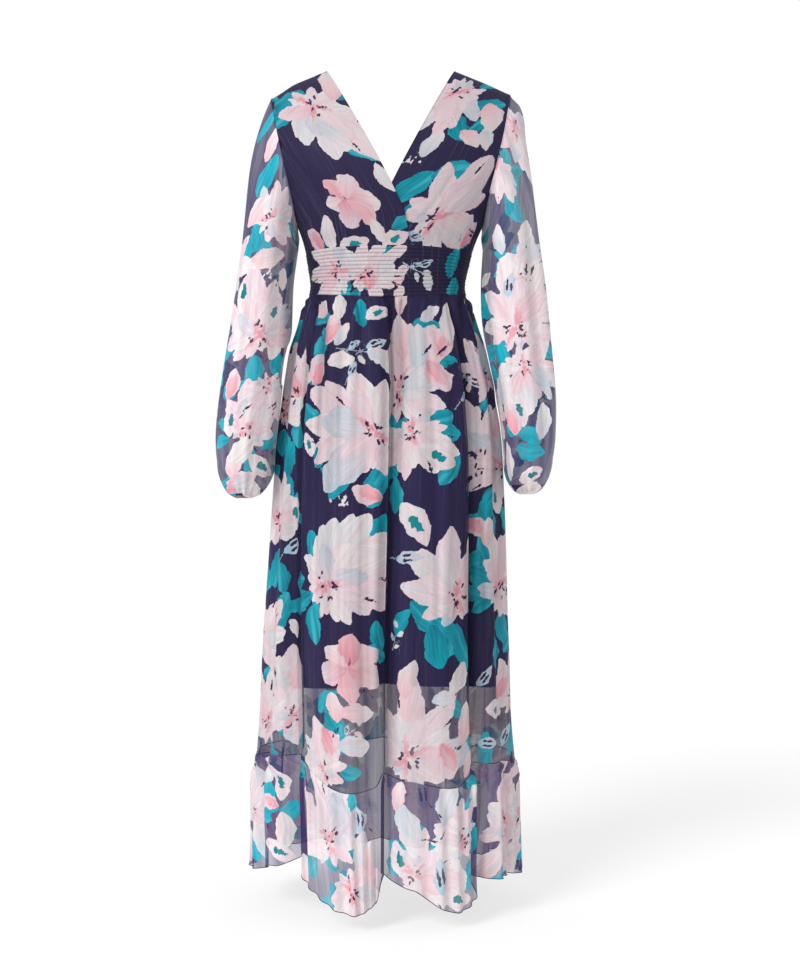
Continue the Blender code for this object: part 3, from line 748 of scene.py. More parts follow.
@dataclass
class Painter:
    """Draws one motif with dabs of the brush."""

    canvas: Canvas
    s: float
    t: float
    size: float
    turn: float
    chance: np.random.Generator

    def at(self, along: float, aside: float = 0.0) -> tuple[float, float]:
        """Find a place beside the motif's middle.

        Args:
            along: distance from the middle towards the motif's turn.
            aside: distance to the right of that.

        Returns:
            The place, across and down the cloth.
        """
        cos = math.cos(math.radians(self.turn))
        sin = math.sin(math.radians(self.turn))
        return self.s + along * cos + aside * sin, self.t - along * sin + aside * cos

    def off(self, away: float, heading: float, stretch: float = 1.0) -> tuple[float, float]:
        """Place away from the motif's middle in a direction in radians, stretched down the cloth."""
        return self.s + away * math.cos(heading), self.t - away * math.sin(heading) * stretch

    @property
    def root(self) -> tuple[float, float]:
        """Place of the motif's lower end."""
        return self.at(-self.size / 2)

    def blossom(self) -> None:
        """Large loose flower with dark stamens at its heart, whose petals are longest towards its turn."""
        canvas = self.canvas
        uniform = self.chance.uniform
        size = self.size
        self.blossom_petals()
        for _ in range(4):
            angle = self.turn + uniform(60, 300)
            place = self.off(size * uniform(0.30, 0.52), math.radians(angle))
            canvas.dab(
                canvas.leaves, place, angle + uniform(-30, 30), size * uniform(0.42, 0.62),
                size * uniform(0.24, 0.34), (DEEP_TEAL, TEAL), belly=1.0,
            )
        for _ in range(3):
            angle = math.radians(self.turn + uniform(-60, 60))
            place = self.off(size * uniform(0.5, 0.8), angle)
            canvas.dab(
                canvas.marks, place, math.degrees(angle), size * 0.24, size * 0.035, (NAVY, NAVY),
                blunt=1.2, ragged=0.3,
            )
        for index in range(4):
            canvas.dab(
                canvas.petals, (self.s, self.t), self.turn + 180 * (index % 2) + uniform(-50, 50),
                size * uniform(0.20, 0.34), size * 0.07, (CORAL, ROSE), blunt=0.9, ragged=0.3,
            )
        for _ in range(10):
            angle = uniform(0, 2 * math.pi)
            place = self.off(size * uniform(0.02, 0.13), angle, 1.3)
            canvas.dab(
                canvas.marks, place, math.degrees(angle) + uniform(-40, 40), size * uniform(0.05, 0.11),
                size * 0.034, (PLUM, PLUM), blunt=0.5, ragged=0.4,
            )

    def blossom_petals(self) -> None:
        """Two rounds of petals, each petal in two pulls of the brush."""
        chance = self.chance
        pick = int(chance.integers(0, len(PETAL_TINTS)))
        for scale, widest in ((1.0, 46), (0.68, 54)):
            angles = []
            opened = -168.0
            while opened < 172:
                angles.append(opened)
                opened += chance.uniform(0.5, 1.0) * widest
            for index in chance.permutation(len(angles)):
                angle = self.turn + angles[index]
                lean = math.cos(math.radians(angles[index]))
                length = self.size * scale * (0.66 + 0.34 * lean) * chance.uniform(0.78, 1.18)
                width = length * chance.uniform(0.27, 0.40) / (0.35 + 0.65 * scale)
                pick += int(chance.integers(1, 4))
                lean_over = float(chance.choice((-1.0, 1.0))) * chance.uniform(7, 12)
                for offset, share in ((lean_over, chance.uniform(0.78, 0.92)), (0.0, 1.0)):
                    self.canvas.dab(
                        self.canvas.petals, (self.s, self.t), angle + offset, length * share, width * share,
                        PETAL_TINTS[pick % len(PETAL_TINTS)], belly=1.3, blunt=0.56, ragged=0.075,
                    )

    def flower(self) -> None:
        """Small flower of six blunt petals."""
        canvas = self.canvas
        place = (self.s, self.t)
        for index in self.chance.permutation(6):
            angle = self.turn + int(index) * 60 + self.chance.uniform(-10, 10)
            length = self.size * self.chance.uniform(0.82, 1.12)
            colours = (CORAL if int(index) % 2 else ROSE, (PALE, ROSE, CHALK)[int(index) % 3])
            canvas.dab(
                canvas.petals, place, angle, length, length * self.chance.uniform(0.62, 0.78), colours,
                belly=1.4, blunt=0.5, ragged=0.10,
            )
        canvas.dab(
            canvas.marks, place, self.turn + 60, self.size * 0.3, self.size * 0.07, (PLUM, CORAL), ragged=0.4
        )

    def leaf(self) -> None:
        """Plain teal leaf, darker at its root."""
        self.canvas.dab(
            self.canvas.leaves, self.root, self.turn, self.size, self.size * self.chance.uniform(0.46, 0.62),
            (DEEP_TEAL, TEAL), belly=0.95, blunt=0.62, ragged=0.07,
        )

    def chalk_leaf(self) -> None:
        """White leaf with a blot of dark green at its heart."""
        canvas = self.canvas
        size = self.size
        canvas.dab(
            canvas.petals, self.root, self.turn, size, size * 0.52, (CHALK, PALE),
            belly=0.9, blunt=0.7, ragged=0.06,
        )
        for side in (-1, 1):
            canvas.dab(
                canvas.marks, self.at(-size * 0.16, side * size * 0.04),
                self.turn + side * 8 + self.chance.uniform(-6, 6), size * 0.38, size * 0.15,
                (GREEN, DEEP_TEAL), ragged=0.35,
            )

    def pale_leaf(self) -> None:
        """White leaf or stray petal with a faint rose or grey wash."""
        wash = (ROSE, MIST, CHALK)[int(self.chance.integers(0, 3))]
        self.canvas.dab(
            self.canvas.petals, self.root, self.turn, self.size, self.size * self.chance.uniform(0.46, 0.6),
            (wash, CHALK), belly=1.0, blunt=0.66, ragged=0.07,
        )

    def mist_leaf(self) -> None:
        """Pale blue leaf whose middle is left open, on a thin stem."""
        canvas = self.canvas
        size = self.size
        canvas.dab(canvas.petals, self.root, self.turn, size, size * 0.44, (SKY, MIST), belly=0.9, blunt=0.8)
        for side in (-1, 1):
            canvas.dab(
                canvas.marks, self.at(-size * 0.26, side * size * 0.085), self.turn, size * 0.5,
                size * 0.095, (NAVY, NAVY), ragged=0.2,
            )
        canvas.stem(self.root, self.turn + 180 + self.chance.uniform(-15, 15), size * 0.6, 20)

    def sprig(self) -> None:
        """Thin stem with small leaves on both sides of it."""
        cos = math.cos(math.radians(self.turn))
        sin = math.sin(math.radians(self.turn))
        self.canvas.stem(self.root, self.turn, self.size, 14)
        for index in range(4):
            share = -0.3 + index * 0.22
            side = 1 if index % 2 else -1
            s = self.s + self.size * (share * cos - side * 0.14 * sin)
            t = self.t - self.size * (share * sin + side * 0.14 * cos)
            turned = self.turn + side * self.chance.uniform(35, 60)
            if index == 1:
                replace(self, s=s, t=t, size=self.size * 0.34, turn=turned).mist_leaf()
            else:
                size = self.size * self.chance.uniform(0.24, 0.34)
                replace(self, s=s, t=t, size=size, turn=turned).pale_leaf()

    def bud(self) -> None:
        """Closed pink bud with a teal leaf at its root."""
        canvas = self.canvas
        size = self.size
        for side in (-1, 1):
            canvas.dab(
                canvas.leaves, self.root, self.turn + side * 42 + 180 * (side < 0) * 0.1, size * 0.55,
                size * 0.3, (DEEP_TEAL, TEAL), ragged=0.1,
            )
        canvas.dab(
            canvas.petals, self.root, self.turn, size, size * 0.62, (ROSE, PALE), belly=1.1, ragged=0.06
        )
        canvas.dab(
            canvas.petals, self.root, self.turn + self.chance.uniform(-14, 14), size * 0.8, size * 0.4,
            (CORAL, ROSE), belly=1.2, ragged=0.1,
        )

    def specks(self) -> None:
        """Cluster of small white dabs."""
        uniform = self.chance.uniform
        for _ in range(9):
            away = self.size * uniform(0.05, 0.5)
            angle = uniform(0, 2 * math.pi)
            place = (self.s + away * math.cos(angle), self.t - away * 0.6 * math.sin(angle))
            self.canvas.dab(
                self.canvas.petals, place, uniform(0, 360), self.size * uniform(0.16, 0.3),
                self.size * 0.11, (CHALK, CHALK), ragged=0.4,
            )


def paint(canvas: Canvas, kind: Kind, s: float, t: float, size: float, turn: float) -> None:
    """Paint one motif.

    Args:
        canvas: the piece's print.
        kind: which motif.
        s: its place across the cloth.
        t: its place down the cloth.
        size: radius of a flower, or length of anything else.
        turn: direction in degrees, 0 across to +s and 90 up the cloth.
    """
    chance = np.random.default_rng(abs(int(s * 9000)) * 7 + abs(int(t * 9000)) + kind.value)
    getattr(Painter(canvas, s, t, size, turn, chance), kind.name.lower())()


SKIRT_PRINT = (
    *motifs(
        Kind.BLOSSOM, (-145, -500, 109, 96), (6, -492, 128, 78), (28, -560, 90, -60), (140, -604, 112, 104),
        (-28, -556, 118, 176), (-100, -786, 120, 30), (106, -812, 118, 100), (180, -800, 90, 20),
        (-150, -992, 102, 60), (20, -1046, 121, 62), (-102, -1066, 80, 110),
    ),
    *motifs(Kind.FLOWER, (-64, -908, 52, 20)),
    *motifs(
        Kind.LEAF, (-112, -380, 46, 10), (-108, -428, 57, 60), (-41, -374, 44, 95), (54, -392, 46, 20),
        (78, -402, 46, -40), (86, -444, 41, -20), (-102, -524, 55, 108), (-106, -586, 66, 48),
        (-101, -613, 46, 100), (-12, -634, 76, 68), (96, -614, 60, 60), (-168, -652, 55, 80),
        (-166, -680, 46, 20), (157, -672, 60, 70), (4, -655, 55, 90), (-34, -712, 46, 60),
        (-8, -704, 46, 70), (-18, -728, 46, -5), (128, -752, 49, 20), (156, -752, 46, 80),
        (144, -774, 46, -20), (-116, -818, 49, 120), (-120, -850, 60, 96), (-174, -836, 63, 70),
        (-148, -824, 38, 30), (-12, -868, 49, 100), (-14, -894, 41, 150), (69, -840, 85, -32),
        (72, -882, 71, -72), (12, -846, 44, 60), (-85, -1002, 55, -60), (97, -975, 49, -20),
        (-100, -962, 49, 40), (142, -1040, 57, 86),
    ),
    *motifs(
        Kind.BUD, (-97, -400, 51, 62), (-116, -460, 51, 70), (84, -420, 46, 80), (78, -472, 59, -54),
        (-38, -651, 48, 160), (131, -700, 46, -30), (-94, -1026, 55, -60), (90, -1048, 57, -70),
    ),
    *motifs(
        Kind.CHALK_LEAF, (-20, -372, 42, 20), (71, -592, 68, -24), (-130, -578, 40, 110),
        (-145, -682, 66, -64), (34, -696, 77, -58), (168, -986, 57, -10),
    ),
    *motifs(
        Kind.PALE_LEAF, (-112, -366, 37, 40), (-76, -406, 42, 50), (-79, -447, 47, 10),
        (-15, -443, 34, -20), (20, -360, 40, 80), (63, -374, 40, 30), (95, -385, 69, 92),
        (131, -430, 52, 118), (-82, -362, 44, 80), (12, -412, 74, 90), (44, -424, 69, 84),
        (-170, -716, 40, 5), (156, -712, 47, 100), (-147, -860, 40, -50), (-142, -920, 66, 80),
        (22, -930, 59, 74), (108, -932, 54, 60), (-186, -900, 62, 60), (-46, -980, 52, 5),
        (-49, -1027, 52, 8), (-88, -972, 47, 100), (85, -956, 42, 12), (116, -1002, 64, 80),
        (120, -1058, 44, 60),
    ),
    *motifs(
        Kind.MIST_LEAF, (-24, -421, 34, 24), (136, -478, 38, -14), (-54, -460, 26, 60), (118, -504, 26, 40),
        (-151, -732, 46, 32), (23, -749, 44, 4), (155, -1034, 40, -6), (150, -935, 40, 50),
    ),
    *motifs(
        Kind.SPRIG, (-48, -434, 70, -12), (118, -474, 56, -38), (4, -866, 46, 70), (-60, -1006, 50, 30),
    ),
    *motifs(Kind.SPECKS, (-77, -661, 36, 0), (-150, -858, 26, 0)),
)
RUFFLE_PRINT = (
    *motifs(
        Kind.PALE_LEAF, (-50, -1240, 80, 64), (-36, -1186, 70, 80), (54, -1262, 70, 40),
        (96, -1226, 70, 96), (192, -1228, 80, 84), (158, -1216, 70, 60), (-128, -1232, 72, 84),
        (-204, -1190, 62, 80),
    ),
    *motifs(Kind.CHALK_LEAF, (12, -1196, 60, 110)),
    *motifs(
        Kind.BLOSSOM, (-94, -1170, 112, 96), (-60, -1236, 92, -60), (112, -1170, 80, 130),
        (183, -1165, 102, 84), (40, -1214, 80, 0),
    ),
    *motifs(Kind.BUD, (-186, -1122, 37, 160)),
    *motifs(Kind.CHALK_LEAF, (-172, -1194, 55, -20), (105, -1252, 57, -10), (-168, -1090, 55, 92)),
    *motifs(Kind.LEAF, (-140, -1072, 49, 20), (-194, -1122, 60, 80), (-152, -1134, 46, 50)),
    *motifs(Kind.PALE_LEAF, (-158, -1160, 56, 80), (24, -1150, 84, -70)),
    *motifs(
        Kind.LEAF, (38, -1184, 55, -30), (74, -1178, 57, 84), (128, -1088, 41, -20), (127, -1170, 49, 90),
    ),
    *motifs(Kind.MIST_LEAF, (-41, -1132, 40, 80), (78, -1218, 56, 104)),
    *motifs(
        Kind.PALE_LEAF, (-196, -1078, 44, 50), (88, -1108, 69, 84), (128, -1106, 40, 120),
        (-30, -1190, 54, 80), (10, -1100, 44, 70),
    ),
)
SIDE_PRINT = (
    *motifs(
        Kind.BLOSSOM, (34, -520, 84, 60), (50, -700, 104, 110), (26, -880, 88, 40), (60, -1010, 90, 90),
        (-40, -470, 80, 120), (-30, -610, 96, 150), (-56, -800, 100, 70), (-30, -970, 92, 100),
    ),
    *motifs(
        Kind.LEAF, (22, -400, 50, 60), (70, -600, 55, 80), (20, -630, 60, 40), (80, -780, 55, 110),
        (24, -790, 60, 70), (70, -930, 60, 30), (-20, -400, 50, 100), (-70, -540, 55, 60),
        (-24, -700, 60, 120), (-70, -710, 55, 70), (-26, -880, 60, 50), (-80, -900, 55, 100),
    ),
    *motifs(Kind.CHALK_LEAF, (40, -440, 50, 70), (-50, -660, 55, 110), (30, -960, 55, 60)),
    *motifs(Kind.PALE_LEAF, (-34, -540, 50, 80), (80, -840, 52, 60)),
    *motifs(Kind.MIST_LEAF, (-60, -1030, 40, 60)),
    *motifs(Kind.BUD, (64, -480, 50, 100), (-60, -950, 52, 60)),
)
HEM_SIDE_PRINT = (
    *motifs(Kind.BLOSSOM, (52, -1150, 78, 80), (-50, -1160, 80, 100), (-110, -1220, 60, 60)),
    *motifs(
        Kind.LEAF, (20, -1110, 52, 60), (90, -1200, 55, 100), (-24, -1100, 52, 110), (-90, -1120, 55, 70),
    ),
    *motifs(Kind.PALE_LEAF, (22, -1200, 70, 84), (-18, -1210, 70, 84)),
    *motifs(Kind.CHALK_LEAF, (84, -1110, 50, 60)),
)
BACK_BODICE_PRINT = (
    *motifs(
        Kind.BLOSSOM, (118, -70, 112, 120), (60, -170, 100, 60), (-112, -130, 112, 100),
        (-30, -250, 96, 40),
    ),
    *motifs(Kind.FLOWER, (122, -220, 48, 20)),
    *motifs(
        Kind.LEAF, (160, -40, 60, 60), (140, -160, 60, 40), (70, -100, 52, 100), (16, -200, 50, 70),
        (-60, -180, 60, 120), (-140, -30, 60, 110), (-120, -230, 56, 60),
    ),
    *motifs(Kind.CHALK_LEAF, (90, -255, 52, 20), (-86, -60, 56, 70)),
    *motifs(Kind.PALE_LEAF, (150, -110, 56, 100), (-148, -200, 50, 80), (30, -262, 46, 10)),
    *motifs(Kind.BUD, (-80, -220, 48, 130)),
    *motifs(Kind.MIST_LEAF, (-68, -262, 36, 20)),
)
RIGHT_BODICE_PRINT = (
    *motifs(Kind.BLOSSOM, (-124, -46, 104, -72)),
    *motifs(Kind.PALE_LEAF, (-96, -6, 64, 70), (-88, -100, 56, -60)),
    *motifs(Kind.FLOWER, (-70, -204, 42, 66)),
    *motifs(Kind.LEAF, (-160, -36, 68, 38), (-50, -120, 64, -40), (-34, -100, 50, -60)),
    *motifs(Kind.CHALK_LEAF, (-60, -270, 50, 8), (10, -266, 48, 30)),
    *motifs(Kind.PALE_LEAF, (-6, -170, 44, 100), (-22, -255, 37, -62), (-98, -254, 52, 96)),
    *motifs(Kind.BUD, (-120, -262, 44, 130)),
    *motifs(Kind.LEAF, (18, -246, 38, 20)),
)
LEFT_BODICE_PRINT = (
    *motifs(Kind.BLOSSOM, (70, -238, 104, 48), (108, -22, 80, -122)),
    *motifs(
        Kind.PALE_LEAF, (66, -116, 46, 84), (160, -62, 57, -64), (127, -103, 44, -34), (150, -101, 40, -58),
    ),
    *motifs(Kind.BUD, (126, -250, 46, 60)),
    *motifs(
        Kind.LEAF, (153, -42, 55, 10), (143, -80, 41, 70), (110, -88, 56, -50), (36, -189, 68, 56),
        (42, -222, 49, 30), (131, -160, 71, 50), (100, -160, 55, 20),
    ),
    *motifs(Kind.MIST_LEAF, (40, -262, 30, -20)),
    *motifs(Kind.SPECKS, (32, -146, 30, 0)),
)
BAND_PRINT = (
    *motifs(Kind.BLOSSOM, (-82, -312, 78, 160), (-42, -318, 74, 30)),
    *motifs(Kind.BUD, (-34, -318, 46, 80)),
    *motifs(Kind.LEAF, (-5, -300, 49, 80), (102, -296, 52, 70), (100, -332, 44, 80)),
    *motifs(Kind.PALE_LEAF, (14, -322, 34, 80), (16, -282, 32, 20), (62, -324, 30, 110)),
    *motifs(Kind.MIST_LEAF, (55, -302, 26, 20)),
    *motifs(Kind.PALE_LEAF, (16, -343, 30, 60)),
    *motifs(Kind.SPRIG, (42, -312, 50, -30)),
)
RIGHT_SLEEVE_PRINT = (
    *motifs(Kind.BLOSSOM, (-192, -226, 84, 40)),
    *motifs(Kind.CHALK_LEAF, (-232, -336, 60, 84)),
    *motifs(Kind.PALE_LEAF, (-226, -348, 70, 100)),
    *motifs(Kind.CHALK_LEAF, (-250, -540, 52, 84), (-196, -612, 56, -30)),
    *motifs(Kind.PALE_LEAF, (-246, -606, 56, 80)),
    *motifs(Kind.BUD, (-244, -640, 48, 40)),
    *motifs(Kind.PALE_LEAF, (-214, -652, 50, -10), (-176, -420, 52, 70)),
    *motifs(Kind.LEAF, (-182, -572, 50, 30), (-196, -156, 71, 80)),
    *motifs(Kind.PALE_LEAF, (-212, -208, 60, 50)),
    *motifs(Kind.LEAF, (-214, -250, 49, 90)),
    *motifs(Kind.PALE_LEAF, (-190, -282, 64, 10)),
    *motifs(Kind.SPECKS, (-191, -312, 32, 0)),
    *motifs(Kind.PALE_LEAF, (-165, -316, 37, 90)),
    *motifs(Kind.BLOSSOM, (-204, -404, 104, 96)),
    *motifs(Kind.CHALK_LEAF, (-176, -372, 56, 60)),
    *motifs(Kind.LEAF, (-242, -396, 44, 70)),
    *motifs(Kind.BLOSSOM, (-218, -556, 72, 60), (-186, -486, 64, -80)),
    *motifs(Kind.PALE_LEAF, (-236, -590, 60, 40)),
    *motifs(Kind.BUD, (-250, -482, 48, 80)),
    *motifs(Kind.PALE_LEAF, (-230, -636, 42, 20)),
    *motifs(Kind.LEAF, (-200, -70, 55, 70)),
    *motifs(Kind.PALE_LEAF, (-187, -100, 62, 84)),
)
LEFT_SLEEVE_PRINT = (
    *motifs(Kind.BLOSSOM, (196, -70, 82, -86)),
    *motifs(Kind.LEAF, (180, -132, 55, 50)),
    *motifs(Kind.BLOSSOM, (214, -312, 66, 60)),
    *motifs(Kind.PALE_LEAF, (232, -420, 70, 84), (176, -500, 70, 80)),
    *motifs(Kind.CHALK_LEAF, (196, -520, 55, -70)),
    *motifs(Kind.PALE_LEAF, (180, -602, 64, 100), (240, -540, 60, 84), (212, -652, 48, 10)),
    *motifs(Kind.LEAF, (193, -172, 57, 40), (197, -206, 57, -70)),
    *motifs(Kind.PALE_LEAF, (166, -260, 47, 96), (214, -244, 47, 60)),
    *motifs(Kind.LEAF, (208, -274, 41, 30)),
    *motifs(Kind.BLOSSOM, (192, -392, 110, 80), (206, -450, 80, -60)),
    *motifs(Kind.LEAF, (171, -442, 49, 84), (218, -560, 49, -30), (220, -590, 49, -10)),
    *motifs(Kind.CHALK_LEAF, (222, -626, 44, 20)),
    *motifs(Kind.MIST_LEAF, (180, -330, 40, 80)),
    *motifs(Kind.BUD, (186, -536, 51, 100)),
)


def moved(pattern: tuple[Motif, ...], x: float, z: float, low: float, high: float) -> tuple[Motif, ...]:
    """Lay a print out again elsewhere, for a side that the front doesn't show.

    Args:
        pattern: the print.
        x: sideways move.
        z: move upwards, past the top going on from the bottom.
        low: lowest height of the print.
        high: greatest height.

    Returns:
        The moved motifs.
    """
    tall = high - low
    return tuple(
        Motif(motif.kind, x - motif.x, low + (motif.z + z - low) % tall, motif.size, 180 - motif.turn)
        for motif in pattern
    )


class Tree:
    """Node tree with a short way to add a node together with its inputs."""

    def __init__(self, tree: bpy.types.NodeTree) -> None:
        """Work on this tree."""
        self.tree = tree

    def add(self, kind: str, inputs: dict | None = None, **settings: object) -> bpy.types.Node:
        """Add one node.

        Args:
            kind: Blender's name of the node's type.
            inputs: value or linked socket for each input, by its name or number.
            settings: the node's own settings.

        Returns:
            The node.
        """
        node = self.tree.nodes.new(kind)
        for key, value in settings.items():
            setattr(node, key, value)
        for key, value in (inputs or {}).items():
            if isinstance(value, bpy.types.NodeSocket):
                self.tree.links.new(value, node.inputs[key])
            else:
                node.inputs[key].default_value = value
        return node

    def math(self, operation: str, *values: object) -> bpy.types.NodeSocket:
        """Add a Math node and give its result."""
        return self.add("ShaderNodeMath", dict(enumerate(values)), operation=operation).outputs[0]

    def ramp(self, value: object, low: float, high: float, start: float = 0.0, end: float = 1.0) -> object:
        """Add an eased Map Range from low..high to start..end and give its result."""
        limits = {"Value": value, "From Min": low, "From Max": high, "To Min": start, "To Max": end}
        return self.add("ShaderNodeMapRange", limits, interpolation_type="SMOOTHSTEP").outputs[0]

    def blend(self, share: object, first: object, second: object, how: str = "MIX") -> bpy.types.NodeSocket:
        """Add a colour Mix node and give its result."""
        node = self.add("ShaderNodeMix", {0: share, 6: first, 7: second}, data_type="RGBA", blend_type=how)
        return node.outputs[2]

    def noise(self, vector: object, scale: object, detail: float = 2.0) -> bpy.types.NodeSocket:
        """Add a Noise Texture and give its value."""
        inputs = {"Vector": vector, "Scale": scale, "Detail": detail}
        return self.add("ShaderNodeTexNoise", inputs).outputs["Fac"]

    def stretched(self, vector: object, factors: tuple[float, float, float]) -> bpy.types.NodeSocket:
        """Multiply a vector by three factors."""
        return self.add("ShaderNodeVectorMath", {0: vector, 1: factors}, operation="MULTIPLY").outputs[0]

    def attribute(self, name: str, output: str) -> bpy.types.NodeSocket:
        """Read an attribute of the mesh."""
        return self.add("ShaderNodeAttribute", attribute_name=name).outputs[output]

    def link(self, value: bpy.types.NodeSocket, socket: bpy.types.NodeSocket) -> None:
        """Join a result to an input."""
        self.tree.links.new(value, socket)


def rgba(colour: Colour) -> tuple[float, float, float, float]:
    """Colour with full cover."""
    return (*colour, 1.0)


def new_group(name: str, inputs: tuple, outputs: tuple) -> tuple[Tree, object, object]:
    """Start a shader node group.

    Args:
        name: its name.
        inputs: name and type of each input.
        outputs: name and type of each output.

    Returns:
        Its tree, its input node and its output node.
    """
    group = bpy.data.node_groups.new(name, "ShaderNodeTree")
    for socket, kind in inputs:
        group.interface.new_socket(socket, in_out="INPUT", socket_type="NodeSocket" + kind)
    for socket, kind in outputs:
        group.interface.new_socket(socket, in_out="OUTPUT", socket_type="NodeSocket" + kind)
    tree = Tree(group)
    return tree, tree.add("NodeGroupInput"), tree.add("NodeGroupOutput")


class Effects:
    """Shader groups that the finishes share."""

    def __init__(self) -> None:
        """Build each group once."""
        self.painted = self.painted_print()
        self.crepe = self.crepe_weave()

    def painted_print(self) -> bpy.types.NodeTree:
        """Colour of the brushed flower print over the ground colour, and where it is painted.

        Returns:
            The group.
        """
        tree, start, end = new_group(
            "painted_print", (("Ground", "Color"), ("Leaf Light Through", "Float"), ("Petal Light Through", "Float")),
            (("Colour", "Color"), ("Paint", "Float")),
        )
        place = tree.add("ShaderNodeTexCoord").outputs["Object"]
        wobble = tree.math("MULTIPLY_ADD", tree.noise(place, 210.0, 4.0), 0.0050, -0.0025)
        depths = tree.add("ShaderNodeSeparateXYZ", {0: tree.attribute("print_depth", "Vector")}).outputs
        leaves, petals, marks = (
            tree.ramp(tree.math("ADD", depth, wobble), -0.0004, 0.0004) for depth in depths
        )
        away = tree.math("ABSOLUTE", tree.attribute("print_stem", "Fac"))
        stems = tree.ramp(tree.math("ADD", away, wobble), 0.0005, 0.0012, 0.85, 0.0)
        stroke = tree.attribute("print_stroke", "Vector")
        pull = tree.noise(stroke, 1.0, 3.0)
        wash = tree.noise(stroke, 0.31, 1.0)
        # Painted light and shade: leaves and petals are brightened where light shines through sheer cloth and
        # darkened on lined cloth
        leaf_brush_and_light = tree.math("MULTIPLY", tree.ramp(pull, 0.3, 0.7, 0.74, 1.14), start.outputs["Leaf Light Through"])
        leaf_colour = tree.blend(1.0, tree.attribute("leaf_colour", "Color"), leaf_brush_and_light, "MULTIPLY")
        leaf_colour = tree.blend(tree.ramp(wash, 0.50, 0.68, 0.0, 0.55), leaf_colour, rgba(AQUA))
        petal_brush_and_light = tree.math("MULTIPLY", tree.ramp(pull, 0.3, 0.7, 0.90, 1.04), start.outputs["Petal Light Through"])
        petal_colour = tree.blend(1.0, tree.attribute("petal_colour", "Color"), petal_brush_and_light, "MULTIPLY")
        petal_colour = tree.blend(tree.ramp(wash, 0.55, 0.72, 0.0, 0.40), petal_colour, rgba(ROSE))
        petal_colour = tree.blend(tree.ramp(wash, 0.46, 0.30, 0.0, 0.34), petal_colour, rgba(MIST))
        colour = tree.blend(stems, start.outputs["Ground"], rgba(MIST))
        colour = tree.blend(leaves, colour, leaf_colour)
        colour = tree.blend(petals, colour, petal_colour)
        colour = tree.blend(marks, colour, tree.attribute("mark_colour", "Color"))
        paint = tree.math("MAXIMUM", leaves, petals)
        tree.link(colour, end.inputs["Colour"])
        tree.link(paint, end.inputs["Paint"])
        return tree.tree

    def crepe_weave(self) -> bpy.types.NodeTree:
        """Fine crepe of the cloth, the slubs of its upright threads, and upright bands of painted light and
        shade from folds.

        Returns:
            The group.
        """
        tree, start, end = new_group(
            "crepe_weave", (("Fineness", "Float"),),
            (("Height", "Float"), ("Slub", "Float"), ("Fold", "Float")),
        )
        place = tree.add("ShaderNodeTexCoord").outputs["Object"]
        grain = tree.noise(place, start.outputs["Fineness"], 3.0)
        cloth = tree.add("ShaderNodeUVMap", uv_map="cloth").outputs["UV"]
        pulled = tree.stretched(cloth, (430.0, 6.0, 1.0))
        slub = tree.ramp(tree.noise(pulled, 1.0, 3.0), 0.56, 0.74)
        tree.link(grain, end.inputs["Height"])
        broad = tree.stretched(cloth, (24.0, 1.5, 1.0))
        narrow = tree.stretched(cloth, (95.0, 2.4, 1.0))
        # Fold: upright bands that raise and lower the sheer cloth's cover, painted light and shade of folds
        fold = tree.math(
            "ADD",
            tree.ramp(tree.noise(broad, 1.0, 3.0), 0.36, 0.64, -1.0, 1.0),
            tree.ramp(tree.noise(narrow, 1.0, 1.0), 0.36, 0.64, -0.6, 0.6),
        )
        tree.link(slub, end.inputs["Slub"])
        tree.link(fold, end.inputs["Fold"])
        return tree.tree


WEAVE_FINENESS = 620.0
BUMP_STRENGTH = 0.3
SLUB_SHARE = 0.26
SLUB_COLOUR: Colour = (0.20, 0.18, 0.30)
SHEEN_ROUGHNESS = 0.45
SPECULAR = 0.12


